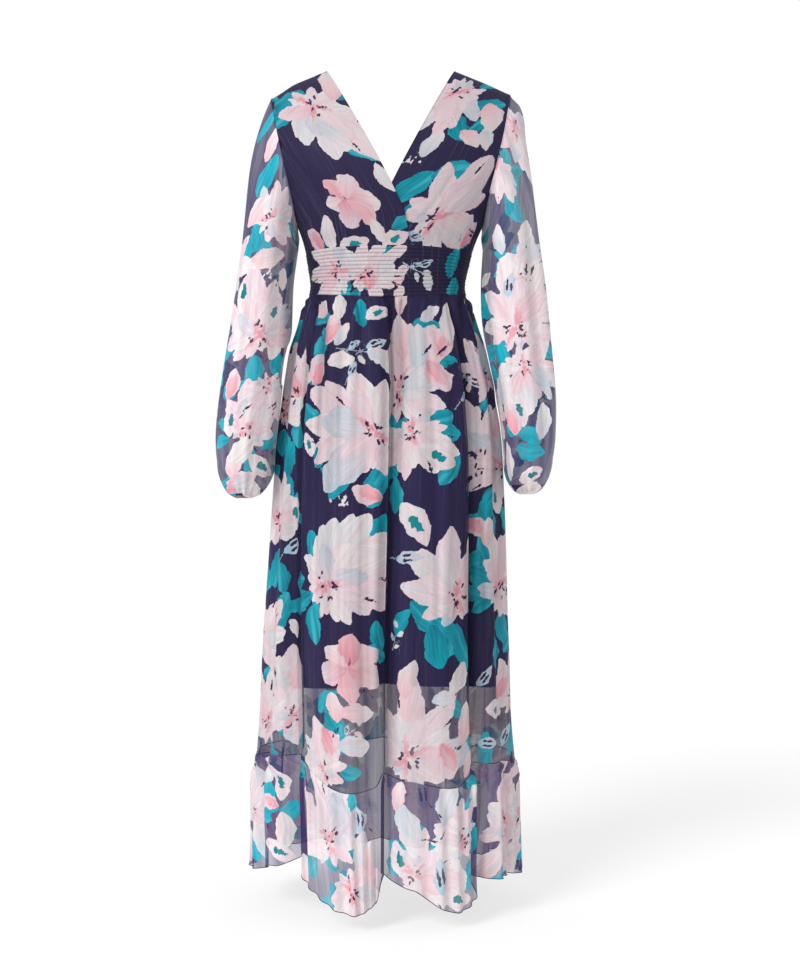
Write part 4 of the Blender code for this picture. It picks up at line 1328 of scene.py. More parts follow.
@dataclass(frozen=True)
class Finish:
    """Cloth of one kind: its ground colour, how much it hides bare and painted, and its surface."""

    name: str
    slot: str
    ground: Colour
    cover: float
    paint_cover: float
    roughness: float
    sheen: float
    grain: float
    printed: bool = True
    # Scale of the print's leaf and petal colour: painted light shining through sheer cloth above 1, painted
    # shade on lined cloth below 1
    leaf_light_through: float = 1.0
    petal_light_through: float = 1.0

    def material(self, effects: Effects) -> bpy.types.Material:
        """Build the material, or give the one that is there.

        Args:
            effects: the shared shader groups.

        Returns:
            The material.
        """
        known = bpy.data.materials.get(self.name)
        if known is not None:
            return known
        material = bpy.data.materials.new(self.name)
        material.use_nodes = True
        tree = Tree(material.node_tree)
        shader = material.node_tree.nodes["Principled BSDF"]
        weave = tree.add("ShaderNodeGroup", node_tree=effects.crepe)
        weave.inputs["Fineness"].default_value = WEAVE_FINENESS
        slub = tree.math("MULTIPLY", weave.outputs["Slub"], SLUB_SHARE)
        ground = tree.blend(slub, rgba(self.ground), rgba(SLUB_COLOUR))
        cover = tree.math("MULTIPLY_ADD", weave.outputs["Slub"], -0.06, self.cover)
        colour = ground
        if self.printed:
            painted = tree.add("ShaderNodeGroup", {"Ground": ground}, node_tree=effects.painted)
            painted.inputs["Leaf Light Through"].default_value = self.leaf_light_through
            painted.inputs["Petal Light Through"].default_value = self.petal_light_through
            # Painted shade: the colour is darkened in the pleats, in the valleys of folds and gathers, and in
            # the grooves between the shirred band's ribs
            shade = tree.ramp(tree.attribute("painted_crease_shade", "Fac"), 0.20, 1.0, 1.0, 0.66)
            colour = tree.blend(1.0, painted.outputs["Colour"], shade, "MULTIPLY")
            paint = painted.outputs["Paint"]
            cover = tree.math("MULTIPLY_ADD", paint, self.paint_cover - self.cover, cover)
        relief = {"Height": weave.outputs["Height"], "Strength": BUMP_STRENGTH, "Distance": self.grain}
        bump = tree.add("ShaderNodeBump", relief)
        shader.inputs["Roughness"].default_value = self.roughness
        shader.inputs["Sheen Weight"].default_value = self.sheen
        shader.inputs["Sheen Roughness"].default_value = SHEEN_ROUGHNESS
        shader.inputs["Specular IOR Level"].default_value = SPECULAR
        tree.link(colour, shader.inputs["Base Color"])
        tree.link(bump.outputs["Normal"], shader.inputs["Normal"])
        if self.cover < 1:
            # Painted light and shade of folds: upright bands where the sheer cloth hides more and where it
            # hides less, partly more and fewer layers of cloth, partly lit crests and shaded valleys
            cover = tree.math("MULTIPLY_ADD", weave.outputs["Fold"], 0.09, cover)
            cover = tree.math("MAXIMUM", cover, tree.attribute("backed", "Fac"))
            tree.link(cover, shader.inputs["Alpha"])
        return material


BACKED = Finish(
    "backed_chiffon", "bodice", NAVY, 1.0, 1.0, 0.62, 0.03, 0.0006, leaf_light_through=0.80, petal_light_through=0.86
)
SHIRRED = Finish(
    "shirred_chiffon", "waistband", (0.018, 0.014, 0.044), 1.0, 1.0, 0.66, 0.03, 0.0006,
    leaf_light_through=0.80, petal_light_through=0.88,
)
CHIFFON = Finish(
    "sheer_chiffon", "chiffon", (0.029, 0.022, 0.078), 0.60, 0.88, 0.55, 0.04, 0.0005,
    leaf_light_through=0.94, petal_light_through=0.98,
)
# Copies of the sheer chiffon for the sleeves and the ruffle: their bluer ground and brighter print are
# painted light shining through the sheer cloth
SLEEVE_CHIFFON_LIT_THROUGH = Finish(
    "sleeve_chiffon_lit_through", "chiffon", (0.032, 0.018, 0.118), 0.61, 0.89, 0.55, 0.04, 0.0005,
    leaf_light_through=1.4, petal_light_through=1.26,
)
RUFFLE_CHIFFON_LIT_THROUGH = Finish(
    "ruffle_chiffon_lit_through", "chiffon", (0.046, 0.018, 0.130), 0.585, 0.88, 0.55, 0.04, 0.0005,
    leaf_light_through=1.3, petal_light_through=1.12,
)
LINING = Finish("navy_lining", "lining", (0.016, 0.014, 0.038), 1.0, 1.0, 0.50, 0.04, 0.0003, printed=False)
CASING = Finish("elastic_casing", "elastic", (0.026, 0.018, 0.060), 0.86, 0.94, 0.62, 0.04, 0.0006)
ROLLED = Finish("rolled_edge", "chiffon", (0.030, 0.020, 0.060), 0.90, 0.9, 0.60, 0.03, 0.0003, printed=False)


def new_object(name: str, data: bpy.types.ID) -> bpy.types.Object:
    """Add an object to the scene.

    Args:
        name: its name.
        data: its mesh, curve, light or camera.

    Returns:
        The object.
    """
    thing = bpy.data.objects.new(name, data)
    bpy.context.scene.collection.objects.link(thing)
    return thing


def put_on_corners(mesh: bpy.types.Mesh, name: str, kind: str, values: Array) -> None:
    """Give a mesh an attribute on the corners of its faces.

    Args:
        mesh: the mesh.
        name: the attribute's name.
        kind: Blender's name of its type.
        values: its values, in the order of the corners.
    """
    field = {"FLOAT": "value", "FLOAT_VECTOR": "vector", "FLOAT_COLOR": "color"}[kind]
    mesh.attributes.new(name, kind, "CORNER").data.foreach_set(field, values.ravel())


def sheet_mesh(name: str, points: Array) -> bpy.types.Mesh:
    """Mesh of an open sheet.

    Args:
        name: its name.
        points: its points, by row from the top and by column anticlockwise seen from above.

    Returns:
        The mesh, with its faces pointing outwards and each vertex's place in the grid as an attribute.
    """
    rows = points.shape[0] - 1
    columns = points.shape[1] - 1
    sheet = bmesh.new()
    bmesh.ops.create_grid(sheet, x_segments=columns, y_segments=rows, size=1.0)
    mesh = bpy.data.meshes.new(name)
    sheet.to_mesh(mesh)
    sheet.free()
    flat = np.zeros(len(mesh.vertices) * 3)
    mesh.vertices.foreach_get("co", flat)
    place = flat.reshape(-1, 3)
    i = np.rint((place[:, 0] + 1) / 2 * columns).astype(int)
    j = rows - np.rint((place[:, 1] + 1) / 2 * rows).astype(int)
    mesh.vertices.foreach_set("co", points[j, i].ravel())
    order = mesh.attributes.new("grid_place", "INT", "POINT")
    order.data.foreach_set("value", j * (columns + 1) + i)
    mesh.update()
    return mesh


def outward_normals(points: Array) -> Array:
    """Outward direction at each point of a sheet.

    Args:
        points: the sheet's points, by row and column.

    Returns:
        A vector of length 1 at each point.
    """
    across = np.gradient(points, axis=1)
    down = np.gradient(points, axis=0)
    normals = np.cross(down, across)
    length = np.linalg.norm(normals, axis=-1, keepdims=True)
    return normals / np.maximum(length, 1e-9)


class Side(Enum):
    """Edges of a piece of cloth, START and END being its first and last columns."""

    TOP = 1
    BOTTOM = 2
    START = 3
    END = 4


@dataclass(frozen=True)
class Trim:
    """Narrow rolled hem or sewn seam along one edge of a piece, in its cloth or a thread of its own."""

    name: str
    side: Side
    radius: float = 0.0005
    stop: int | None = None
    thread: Finish | None = None

    def along(self, points: Array) -> Array:
        """Points of a piece along this edge.

        Args:
            points: the piece's points, or their numbers, by row and column.

        Returns:
            Those along the edge, in order.
        """
        edges = {
            Side.TOP: points[0], Side.BOTTOM: points[-1], Side.START: points[:, 0], Side.END: points[:, -1],
        }
        return edges[self.side][:self.stop]


@dataclass
class Panel:
    """Piece of cloth: a fine sheet on the outer face of the solid of the same name."""

    name: str
    finish: Finish
    columns: int
    rows: int
    flat: tuple[float, float]
    held: str
    rests_on: tuple[str, ...]
    area: float | None = None
    motifs: tuple[Motif, ...] = ()
    side_motifs: tuple[Motif, ...] = ()
    creases: tuple[Crease, ...] = ()
    closed: bool = False
    behind: bool = False
    pleats: tuple[Pleat, ...] = ()
    ripples: tuple[Ripple, ...] = ()
    trims: tuple[Trim, ...] = ()

    def painted_crease_shade(self, across: Array, down: Array) -> Array:
        """Depth from 0 to 1 of the stitched grooves at shares across and down, painted as shade in them."""
        return 0 * (across + down)

    def backed(self) -> Array:
        """Share of each point of the piece that the lining clings to."""
        return np.zeros_like(self.s)

    def surface(self, across: Array, down: Array) -> Array:
        """Find the points of the piece without its creases.

        Args:
            across: shares across of its columns, from 0 to 1.
            down: shares down of its rows, from 0 to 1.

        Returns:
            The points, with their three coordinates on the last axis.
        """
        raise NotImplementedError

    def relief(self, s: Array, t: Array, down: Array) -> Array:
        """Work out the rise of the cloth from gathers of its own.

        Args:
            s: distances across the cloth.
            t: distances down the cloth.
            down: shares down of the points.

        Returns:
            The rise at each point.
        """
        return np.zeros_like(s)

    def settled(self, points: Array) -> Array:
        """Points of the piece once it lies clear of the pieces beside it."""
        return points

    def middle(self) -> int:
        """Column that distances across are measured from."""
        return self.columns // 2

    def shares(self) -> tuple[Array, Array]:
        """Shares across of the columns and shares down of the rows."""
        return np.linspace(0, 1, self.columns + 1)[None, :], np.linspace(0, 1, self.rows + 1)[:, None]

    def shape(self) -> None:
        """Work out the finished points, and the distances across and down the cloth."""
        across, down = self.shares()
        points = self.surface(across, down)
        steps = np.linalg.norm(np.diff(points, axis=1), axis=-1)
        s = np.concatenate([np.zeros((self.rows + 1, 1)), np.cumsum(steps, axis=1)], axis=1)
        s = s - s[:, self.middle()][:, None]
        t = -points[..., 2]
        rise = self.relief(s, t, down + 0 * s) + crease_relief(self.creases, s, t)
        angle = mix(-90, 90, across) + 0 * s
        rise = rise + ripple_relief(self.ripples, angle, points[..., 2])
        tuck_shadow = np.zeros_like(s)
        for pleat in self.pleats:
            column = int(np.searchsorted(angle[0], pleat.angle))
            away = s - (s[:, column - 1] + s[:, column])[:, None] / 2
            under = away > 0
            lift = np.where(under, -1.2 * np.exp(-away / PLEAT_UNDER), np.exp(away / PLEAT_OVER))
            opened = smooth(down / PLEAT_START)
            rise = rise + pleat.step * lift * opened
            # Painted shadow just under each pleat's edge
            tuck_shadow = np.maximum(tuck_shadow, np.where(under, np.exp(-away / PLEAT_SHADOW), 0.0) * opened)
            s = s + np.where(under, pleat.hidden, 0.0)
        s = s - s[:, self.middle()][:, None]
        hold = smooth(down / EDGE_SHARE) * smooth((1 - down) / EDGE_SHARE)
        if self.closed:
            points[:, -1] = points[:, 0]
        else:
            hold = hold * smooth(across / EDGE_SHARE) * smooth((1 - across) / EDGE_SHARE)
        normals = outward_normals(points)
        if self.closed:
            normals[:, 0] = normals[:, -1] = (normals[:, 1] + normals[:, -2]) / 2
            rise[:, -1] = rise[:, 0]
        self.points = self.settled(points + normals * (rise * hold)[..., None])
        # Painted shade: the pleats' shadows and the deep valleys of folds and gathers darken the print
        self.hollow_shade = np.maximum(tuck_shadow, 0.75 * np.clip(-rise * hold / FULL_SHADE_DEPTH, 0.0, 1.0))
        self.s = s
        self.t = t

    def locate(self, motif: Motif) -> tuple[float, float]:
        """Find a motif's place on the cloth, from where it is seen.

        Args:
            motif: the motif.

        Returns:
            Its place across and down the cloth.
        """
        side = -1 if self.behind else 1
        away = np.hypot(self.points[..., 0] - side * motif.x, self.points[..., 2] - motif.z)
        seen = away < away.min() + 0.004
        depth = np.where(seen, side * self.points[..., 1], np.inf)
        index = np.unravel_index(np.argmin(depth), depth.shape)
        return float(self.s[index]), float(self.t[index])

    def paint(self) -> Canvas:
        """Paint the print on the piece.

        Returns:
            The canvas, with every motif on it.
        """
        around = 0.0
        if self.closed:
            around = float(np.mean(self.s[:, -1] - self.s[:, 0]))
        canvas = Canvas(self.s.ravel(), self.t.ravel(), around)
        for motif in self.motifs:
            paint(canvas, motif.kind, *self.locate(motif), motif.size, motif.turn)
        for motif in self.side_motifs:
            row = int(np.argmin(np.abs(self.t[:, 0] + motif.z)))
            edge = self.s[row, 0] if motif.x > 0 else self.s[row, -1]
            paint(canvas, motif.kind, float(edge) + motif.x, -motif.z, motif.size, motif.turn)
        if self.closed:
            for index, motif in enumerate(self.motifs):
                s, t = self.locate(motif)
                paint(canvas, motif.kind, s + around / 2, t + 0.04, motif.size, motif.turn + 40)
                if index % 3 == 0:
                    paint(canvas, motif.kind, s - around * 0.27, t + 0.07, motif.size * 0.8, motif.turn - 30)
        return canvas

    def dress(self, mesh: bpy.types.Mesh, order: Array) -> None:
        """Put the cloth's distances and its print on the corners of a mesh's faces.

        Args:
            mesh: the piece's mesh, or that of one of its trims.
            order: place in the piece's grid of each vertex.
        """
        corners = np.zeros(len(mesh.loops), dtype=np.int32)
        mesh.loops.foreach_get("vertex_index", corners)
        at = order[corners]
        cloth = np.stack([self.s.ravel(), self.t.ravel()], axis=-1)
        uv = mesh.uv_layers.new(name="cloth")
        uv.data.foreach_set("uv", cloth[at].ravel())
        if self.finish.printed:
            canvas = self.canvas
            depths = np.stack([canvas.leaves.depth, canvas.petals.depth, canvas.marks.depth], axis=-1)
            for name, values in (("print_depth", depths), ("print_stroke", canvas.stroke)):
                put_on_corners(mesh, name, "FLOAT_VECTOR", values[at])
            for name, coat in (("leaf", canvas.leaves), ("petal", canvas.petals), ("mark", canvas.marks)):
                full = np.concatenate([coat.colour, np.ones((len(coat.colour), 1))], axis=-1)
                put_on_corners(mesh, name + "_colour", "FLOAT_COLOR", full[at])
            # The painted shade of pleats, hollows and grooves goes on the corners with the print
            painted_crease_shade = np.maximum(self.hollow_shade, self.painted_crease_shade(*self.shares()))
            for name, values in (("print_stem", canvas.stems), ("backed", self.backed()), ("painted_crease_shade", painted_crease_shade)):
                put_on_corners(mesh, name, "FLOAT", values.ravel()[at])

    def sew(self, trim: Trim, effects: Effects) -> bpy.types.Object:
        """Sew a hem or seam along an edge.

        Args:
            trim: the hem or seam.
            effects: the shared shader groups.

        Returns:
            The finished hem or seam.
        """
        places = trim.along(np.arange(self.s.size).reshape(self.s.shape))
        loop = self.closed and trim.side in (Side.TOP, Side.BOTTOM)
        if loop:
            places = places[:-1]
        edge = self.points.reshape(-1, 3)[places]
        mesh = rolled_mesh(trim.name, edge, trim.radius, loop)
        rolled = np.zeros(len(mesh.vertices) * 3)
        mesh.vertices.foreach_get("co", rolled)
        away = np.linalg.norm(rolled.reshape(-1, 1, 3) - edge[None], axis=-1)
        self.dress(mesh, places[np.argmin(away, axis=1)])
        finish = trim.thread or self.finish
        mesh.materials.append(finish.material(effects))
        thing = new_object(trim.name, mesh)
        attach(thing, "root")
        log.info("%s: %d faces", trim.name, len(mesh.polygons))
        return thing

    def make(self, effects: Effects) -> bpy.types.Object:
        """Build and finish the piece.

        Args:
            effects: the shared shader groups.

        Returns:
            The finished object.
        """
        self.shape()
        if self.finish.printed:
            self.canvas = self.paint()
        mesh = sheet_mesh(self.name + "_cloth", self.points)
        order = np.zeros(len(mesh.vertices), dtype=np.int32)
        mesh.attributes["grid_place"].data.foreach_get("value", order)
        self.dress(mesh, order)
        mesh.attributes.remove(mesh.attributes["grid_place"])
        if self.closed:
            tube = bmesh.new()
            tube.from_mesh(mesh)
            bmesh.ops.remove_doubles(tube, verts=tube.verts, dist=1e-5)
            tube.to_mesh(mesh)
            tube.free()
        mesh.shade_smooth()
        mesh.materials.append(self.finish.material(effects))
        thing = new_object(self.name + "_cloth", mesh)
        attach(thing, "root")
        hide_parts(self.name)
        [self.sew(trim, effects) for trim in self.trims]
        log.info("%s: %d faces", thing.name, len(mesh.polygons))
        return thing


def rolled_mesh(name: str, points: Array, radius: float, closed: bool) -> bpy.types.Mesh:
    """Roll a thin round hem along an edge.

    Args:
        name: name of the hem.
        points: points along the edge.
        radius: half its thickness.
        closed: True if it goes right round.

    Returns:
        Its mesh.
    """
    curve = bpy.data.curves.new(name, "CURVE")
    curve.dimensions = "3D"
    curve.bevel_depth = radius
    curve.bevel_resolution = 1
    curve.use_fill_caps = not closed
    line = curve.splines.new("POLY")
    line.points.add(len(points) - 1)
    full = np.concatenate([points, np.ones((len(points), 1))], axis=-1)
    line.points.foreach_set("co", full.ravel())
    line.use_cyclic_u = closed
    shaped = new_object(name + "_line", curve)
    graph = bpy.context.evaluated_depsgraph_get()
    mesh = bpy.data.meshes.new_from_object(shaped.evaluated_get(graph))
    bpy.data.objects.remove(shaped)
    bpy.data.curves.remove(curve)
    mesh.name = name
    mesh.shade_smooth()
    mesh.materials.clear()
    return mesh


@dataclass
class BodiceFront(Panel):
    """One front of the wrap bodice."""

    side: int = 1
    edge: tuple[Edge, ...] = TOP_WRAP_EDGE
    under: bool = False
    seed: int = 1
    overlap_step: float = 0.0021

    def middle(self) -> int:
        """Column of the free edge."""
        return 0 if self.side > 0 else self.columns

    def surface(self, across: Array, down: Array) -> Array:
        """Points of the front from its free edge to the armhole and side.

        Args:
            across: shares across of its columns, from 0 to 1.
            down: shares down of its rows, from 0 to 1.

        Returns:
            The points, with their three coordinates on the last axis.
        """
        rows = down * (len(BODICE_ROWS) - 1)
        count = np.arange(len(BODICE_ROWS))
        inner_z = np.interp(rows, count, [row.inner_z for row in BODICE_ROWS])
        outer_z = np.interp(rows, count, [row.outer_z for row in BODICE_ROWS])
        step = across if self.side > 0 else 1 - across
        share = np.sin(step * math.pi / 2)
        z = mix(inner_z, outer_z, share)
        inner = read(self.edge, "z", "x", inner_z)
        x = self.side * mix(-inner, outer_edge(outer_z), share)
        points = bodice_point(x, z, True)
        if self.under:
            covered = read(TOP_WRAP_EDGE, "z", "x", z) + 0.030 - x
            points[..., 1] += self.overlap_step * smooth(covered / 0.024)
        return ease_shoulder(points)

    def relief(self, s: Array, t: Array, down: Array) -> Array:
        """Gathers that run up from the waistband and down from the shoulder.

        Args:
            s: distances across the cloth.
            t: distances down the cloth.
            down: shares down of the points; not used.

        Returns:
            The rise at each point.
        """
        waist = gathers(
            self.seed, s, -WAIST_TOP_Z - t, count=26, depth=0.0011, reach=0.045, width=0.0035
        )
        shoulder = gathers(
            self.seed + 7, s, np.maximum(t + NECK_Z, 0), count=12, depth=0.0006, reach=0.060, width=0.006
        )
        return waist + shoulder


@dataclass
class BodiceBack(Panel):
    """Back of the bodice, with its V neckline."""

    def surface(self, across: Array, down: Array) -> Array:
        """Points of the back from the wearer's left to the right.

        Args:
            across: shares across of its columns, from 0 to 1.
            down: shares down of its rows, from 0 to 1.

        Returns:
            The points, with their three coordinates on the last axis.
        """
        turn = 1 - 2 * across
        fraction = np.sign(turn) * np.abs(turn) ** 0.9
        wide = np.abs(fraction) * SHOULDER_HALF_WIDTH
        in_neck = mix(BACK_V_Z, NECK_Z, np.minimum(wide / NECK_HALF_WIDTH, 1.0))
        top = np.where(wide < NECK_HALF_WIDTH, in_neck, shoulder_line(wide))
        z = mix(top, WAIST_TOP_Z, down)
        return ease_shoulder(bodice_point(fraction * outer_edge(np.maximum(z, WAIST_TOP_Z)), z, False))

    def relief(self, s: Array, t: Array, down: Array) -> Array:
        """Gathers that run up from the waistband.

        Args:
            s: distances across the cloth.
            t: distances down the cloth.
            down: shares down of the points; not used.

        Returns:
            The rise at each point.
        """
        return gathers(31, s, -WAIST_TOP_Z - t, count=46, depth=0.0010, reach=0.040, width=0.0035)


@dataclass
class Waistband(Panel):
    """Half of the waistband, shirred on rows of elastic thread."""

    half: Half = FRONT
    ribs: int = 13
    rib_height: float = 0.0012

    def painted_crease_shade(self, across: Array, down: Array) -> Array:
        """Depth of the rows of elastic thread, painted as shade between the ribs."""
        return 0 * across + 1 - np.abs(np.sin(down * self.ribs * math.pi))

    def surface(self, across: Array, down: Array) -> Array:
        """Points of the band, with its ribs and their small puckers.

        Args:
            across: shares across of its columns, from 0 to 1.
            down: shares down of its rows, from 0 to 1.

        Returns:
            The points, with their three coordinates on the last axis.
        """
        angle = mix(-90, 90, across)
        z = mix(WAIST_TOP_Z, WAIST_BOTTOM.at(self.half.front, angle), down)
        azimuth = np.radians(self.half.facing + angle)
        rib = np.abs(np.sin(down * self.ribs * math.pi))
        row = np.floor(down * self.ribs)
        pucker = np.sin(angle * 2.9 + row * 2.1 + np.sin(angle * 0.37 + row) * 2) * 0.5
        pucker = pucker + np.sin(angle * 1.7 + row * 4.3) * 0.5
        out = self.rib_height * rib ** 0.7 * (0.8 + 0.45 * pucker)
        width = figure("half_width", z) + out
        depth = figure(self.half.name, z) + out
        x = width * np.cos(azimuth) + figure("shift", z)
        y = depth * np.sin(azimuth)
        return np.stack([x, y, z + 0 * x], axis=-1)


@dataclass
class SkirtPanel(Panel):
    """Half of the skirt, gathered into the waistband."""

    half: Half = FRONT
    seed: int = 3
    gather_height: float = 0.0034

    def surface(self, across: Array, down: Array) -> Array:
        """Points of the skirt with its large folds and main gathers.

        Args:
            across: shares across of its columns, from 0 to 1.
            down: shares down of its rows, from 0 to 1.

        Returns:
            The points, with their three coordinates on the last axis.
        """
        angle = mix(-90, 90, across)
        seam = read_folds(self.half.folds, angle).seam_z
        share = down ** 1.15
        z = mix(WAIST_BOTTOM.at(self.half.front, angle), seam, share)
        wave = -np.cos((angle + 90) / self.half.gather_degrees * 2 * math.pi)
        amount = read(SKIRT_GATHER_FADE, "share", "amount", share)
        uneven = 0.72 + 0.28 * np.sin(angle * 0.083 + self.seed)
        return self.half.point(angle, z, self.gather_height * amount * wave * uneven)

    def backed(self) -> Array:
        """Share that the lining clings to, which is all of it near the side seams."""
        angle = np.abs(np.linspace(-90, 90, self.columns + 1))[None, :]
        return 0.97 * smooth((angle - 70) / 9) * smooth((self.points[..., 2] + 0.955) / 0.004)

    def relief(self, s: Array, t: Array, down: Array) -> Array:
        """Small gathers under the band.

        Args:
            s: distances across the cloth.
            t: distances down the cloth.
            down: shares down of the points; not used.

        Returns:
            The rise at each point.
        """
        below = t - t[0][None, :]
        fine = gathers(self.seed, s, below, count=60, depth=0.0024, reach=0.085, width=0.0028)
        long = gathers(self.seed + 5, s, below, count=20, depth=0.0024, reach=0.260, width=0.0060)
        return fine + long


@dataclass
class LiningPanel(Panel):
    """Half of the plain lining inside the skirt."""

    half: Half = FRONT
    tucks: tuple[Pleat, ...] = ()
    slack: float = 0.0008

    def surface(self, across: Array, down: Array) -> Array:
        """Points of the lining.

        Args:
            across: shares across of its columns, from 0 to 1.
            down: shares down of its rows, from 0 to 1.

        Returns:
            The points, with their three coordinates on the last axis.
        """
        angle = mix(-90, 90, across)
        top = WAIST_BOTTOM.at(self.half.front, angle)
        z = mix(top + 0.0025, LINING_HEM.at(self.half.front, angle), down)
        sideways = np.abs(np.sin(np.radians(angle))) ** 8
        inset = read(LINING_INSET, "share", "amount", down) * (1 - 0.35 * sideways)
        under = sum(
            pleat.step * 1.2 * np.exp(-(((angle - pleat.angle - 4) / 7) ** 2)) for pleat in self.tucks
        )
        inwards = -inset - (under + self.slack) * smooth(down / 0.1)
        return self.half.point(angle, z, inwards, mix(0.7, 1.0, sideways))


@dataclass
class RufflePanel(Panel):
    """Half of the ruffle, gathered onto the lower edge of the skirt."""

    half: Half = FRONT
    seed: int = 11
    flare: float = 0.0040
    wave_height: float = 0.0045

    def surface(self, across: Array, down: Array) -> Array:
        """Points of the ruffle with its waves.

        Args:
            across: shares across of its columns, from 0 to 1.
            down: shares down of its rows, from 0 to 1.

        Returns:
            The points, with their three coordinates on the last axis.
        """
        angle = mix(-90, 90, across)
        place = read_folds(self.half.folds, angle)
        z = mix(place.seam_z, place.hem_z, down)
        turns = across * self.half.waves + 0.18 * np.sin(across * 31 + self.seed) * np.sin(across * math.pi)
        wave = -np.cos(turns * 2 * math.pi) * (0.80 + 0.2 * np.sin(across * 47 + self.seed))
        amount = read(RUFFLE_FADE, "share", "amount", down, reach=0.08)
        return self.half.point(angle, z, (self.flare + self.wave_height * wave) * amount)

    def relief(self, s: Array, t: Array, down: Array) -> Array:
        """Small gathers under the seam.

        Args:
            s: distances across the cloth.
            t: distances down the cloth.
            down: shares down of the points; not used.

        Returns:
            The rise at each point.
        """
        below = t - t[0][None, :]
        fine = gathers(self.seed, s, below, count=84, depth=0.0024, reach=0.050, width=0.0030)
        long = gathers(self.seed + 3, s, below, count=22, depth=0.0030, reach=0.160, width=0.0080)
        return fine + long


def clear_of(points: Array, others: tuple[Array, ...], side: int) -> Array:
    """Move the grid of a tube sideways where it would touch other pieces.

    Args:
        points: the grid of the tube, whose last column is its first.
        others: grids of the pieces that it stays clear of.
        side: -1 to move it to the wearer's right, 1 to the left.

    Returns:
        The grid, moved smoothly and no farther than it must be.
    """
    push = np.zeros(points.shape[:2])
    for grid in others:
        rows, columns = grid.shape[:2]
        place = np.arange(rows * columns).reshape(rows, columns)
        corners = (place[:-1, :-1], place[:-1, 1:], place[1:, 1:], place[1:, :-1])
        faces = np.stack([corner.ravel() for corner in corners], axis=-1)
        tree = BVHTree.FromPolygons(grid.reshape(-1, 3).tolist(), faces.tolist())
        middle = Vector(grid.reshape(-1, 3).mean(axis=0))
        for row, column in np.argwhere(points[..., 2] < grid[..., 2].max()):
            spot = Vector(points[row, column])
            for _ in range(CLEAR_STEPS):
                moved = spot + Vector((side * push[row, column], 0.0, 0.0))
                touched, normal, _face, _distance = tree.find_nearest(moved, CLEAR_REACH)
                if touched is None:
                    break
                outwards = normal if normal.xy.dot(touched.xy - middle.xy) > 0 else -normal
                lacks = CLEARANCE - (moved - touched).dot(outwards)
                if lacks <= 0:
                    break
                push[row, column] += lacks / max(side * outwards.x, 0.5)
    around = push[:, :-1]
    shifts = range(-CLEAR_SPREAD, CLEAR_SPREAD + 1)
    for axis in (0, 1):
        around = np.max([np.roll(around, shift, axis=axis) for shift in shifts], axis=0)
    for axis in (0, 1):
        around = np.mean([np.roll(around, shift, axis=axis) for shift in shifts], axis=0)
    clear = points.copy()
    clear[:, :-1, 0] += side * around
    clear[:, -1] = clear[:, 0]
    return clear


